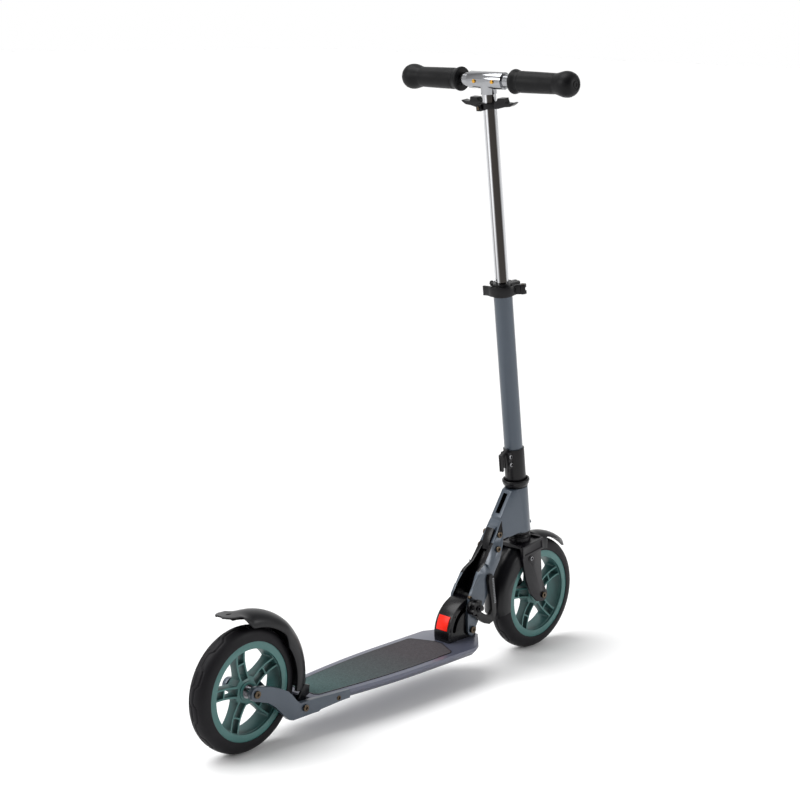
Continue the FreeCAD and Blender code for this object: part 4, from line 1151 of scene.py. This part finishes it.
# ---------------------------------------------------------------- studio
@dataclass
class Studio:
    """White floor, soft boxes and the camera."""

    camera_place: tuple[float, float, float] = (-2.177, -2.0017, 1.1248)
    yaw: float = math.radians(42.67)
    pitch: float = math.radians(11.96)
    roll: float = math.radians(0.99)
    lens: float = 84.7
    floor_size: float = 60.0
    sun_toward: tuple[float, float, float] = (-0.35, 0.55, 1.6)
    sun_strength: float = 2.1
    sun_spread: float = math.radians(44)
    target: tuple[float, float, float] = (0.0, 0.0, 0.35)
    # name, place, width in metres and power in watts
    boxes: list[tuple[str, tuple[float, float, float], float, float]] = field(default_factory=lambda: [
        ("key", (-2.4, 1.2, 1.9), 1.4, 34.0),
        ("side", (1.3, -2.3, 1.3), 1.0, 22.0),
    ])
    ahead: tuple[float, float, float] = (0.735, 0.678, 0.0)
    # the room's grey, from behind the camera to ahead of it
    room: list[tuple[float, float]] = field(default_factory=lambda: [
        (0.28, 0.30), (0.42, 0.75), (0.58, 0.72), (0.75, 0.34),
    ])

    def build_floor(self) -> None:
        """Lays the floor."""
        select_none()
        bpy.ops.mesh.primitive_plane_add(size=self.floor_size, location=(0, 0, -0.0002))
        floor = bpy.context.object
        floor.name = "studio_floor"
        material, _, shader = new_material("matt_white_floor")
        shader.inputs["Base Color"].default_value = linear("#F4F4F4")
        shader.inputs["Roughness"].default_value = 0.95
        shader.inputs["Specular IOR Level"].default_value = 0.1
        floor.data.materials.append(material)

    def build_lights(self) -> None:
        """Opens a high window, and hangs the soft boxes, aimed at the scooter's middle."""
        sun = bpy.data.lights.new("high_window", "SUN")
        sun.energy = self.sun_strength
        sun.angle = self.sun_spread
        window = bpy.data.objects.new("high_window", sun)
        window.rotation_euler = Vector(self.sun_toward).to_track_quat("Z", "Y").to_euler()
        bpy.context.scene.collection.objects.link(window)
        for name, place, size, power in self.boxes:
            light = bpy.data.lights.new("soft_box_" + name, "AREA")
            light.shape = "DISK"
            light.size = size
            light.energy = power
            lamp = bpy.data.objects.new("soft_box_" + name, light)
            lamp.location = place
            lamp.rotation_euler = (Vector(self.target) - Vector(place)).to_track_quat("-Z", "Y").to_euler()
            bpy.context.scene.collection.objects.link(lamp)

    def build_world(self) -> None:
        """Lights the room: dark behind the camera, for the chrome to mirror, and white ahead of it."""
        world = bpy.data.worlds.new("studio_room")
        bpy.context.scene.world = world
        world.use_nodes = True
        tree = world.node_tree
        background = tree.nodes["Background"]
        coordinates = add_node(tree, "ShaderNodeTexCoord")
        toward = add_node(tree, "ShaderNodeVectorMath", {"operation": "DOT_PRODUCT", 1: self.ahead},
                          {0: coordinates.outputs["Generated"]})
        spread = add_node(tree, "ShaderNodeMapRange", {"From Min": -1.0, "From Max": 1.0},
                          {"Value": toward.outputs["Value"]})
        fade = add_node(tree, "ShaderNodeValToRGB", None, {"Fac": spread.outputs["Result"]})
        ramp = fade.color_ramp
        ramp.elements[0].position = 0.12
        ramp.elements[0].color = (0.03, 0.03, 0.034, 1.0)
        ramp.elements[1].position = 0.90
        ramp.elements[1].color = (1.0, 1.0, 1.0, 1.0)
        for position, grey in self.room:
            ramp.elements.new(position).color = (grey, grey, grey, 1.0)
        tree.links.new(fade.outputs["Color"], background.inputs["Color"])
        background.inputs["Strength"].default_value = 1.0

    def build_camera(self) -> None:
        """Stands the camera behind the scooter's right side."""
        camera = bpy.data.cameras.new("camera")
        camera.lens = self.lens
        camera.sensor_width = 36.0
        camera.clip_end = 200.0
        eye = bpy.data.objects.new("camera", camera)
        ahead = Vector((math.cos(self.yaw) * math.cos(self.pitch), math.sin(self.yaw) * math.cos(self.pitch),
                        -math.sin(self.pitch)))
        right = Vector((math.sin(self.yaw), -math.cos(self.yaw), 0))
        up = right.cross(ahead)
        rolled_right = right * math.cos(self.roll) + up * math.sin(self.roll)
        rolled_up = up * math.cos(self.roll) - right * math.sin(self.roll)
        axes = Matrix((rolled_right, rolled_up, -ahead)).transposed().to_4x4()
        eye.matrix_world = Matrix.Translation(self.camera_place) @ axes
        bpy.context.scene.collection.objects.link(eye)
        bpy.context.scene.camera = eye

    def build(self) -> None:
        """Sets up the studio."""
        bpy.context.scene.view_settings.view_transform = "Standard"
        self.build_floor()
        self.build_lights()
        self.build_world()
        self.build_camera()


def main() -> None:
    """Builds the studio and every sub-assembly, in order."""
    logging.basicConfig(level=logging.INFO, format="%(message)s")
    Studio().build()
    Wheel("rear").build()
    Wheel("front").build()
    Deck().build()
    RearBrake().build()
    FoldBlock().build()
    Neck().build()
    Steering().build()
    Handlebar().build()


if __name__ == "__main__":
    main()
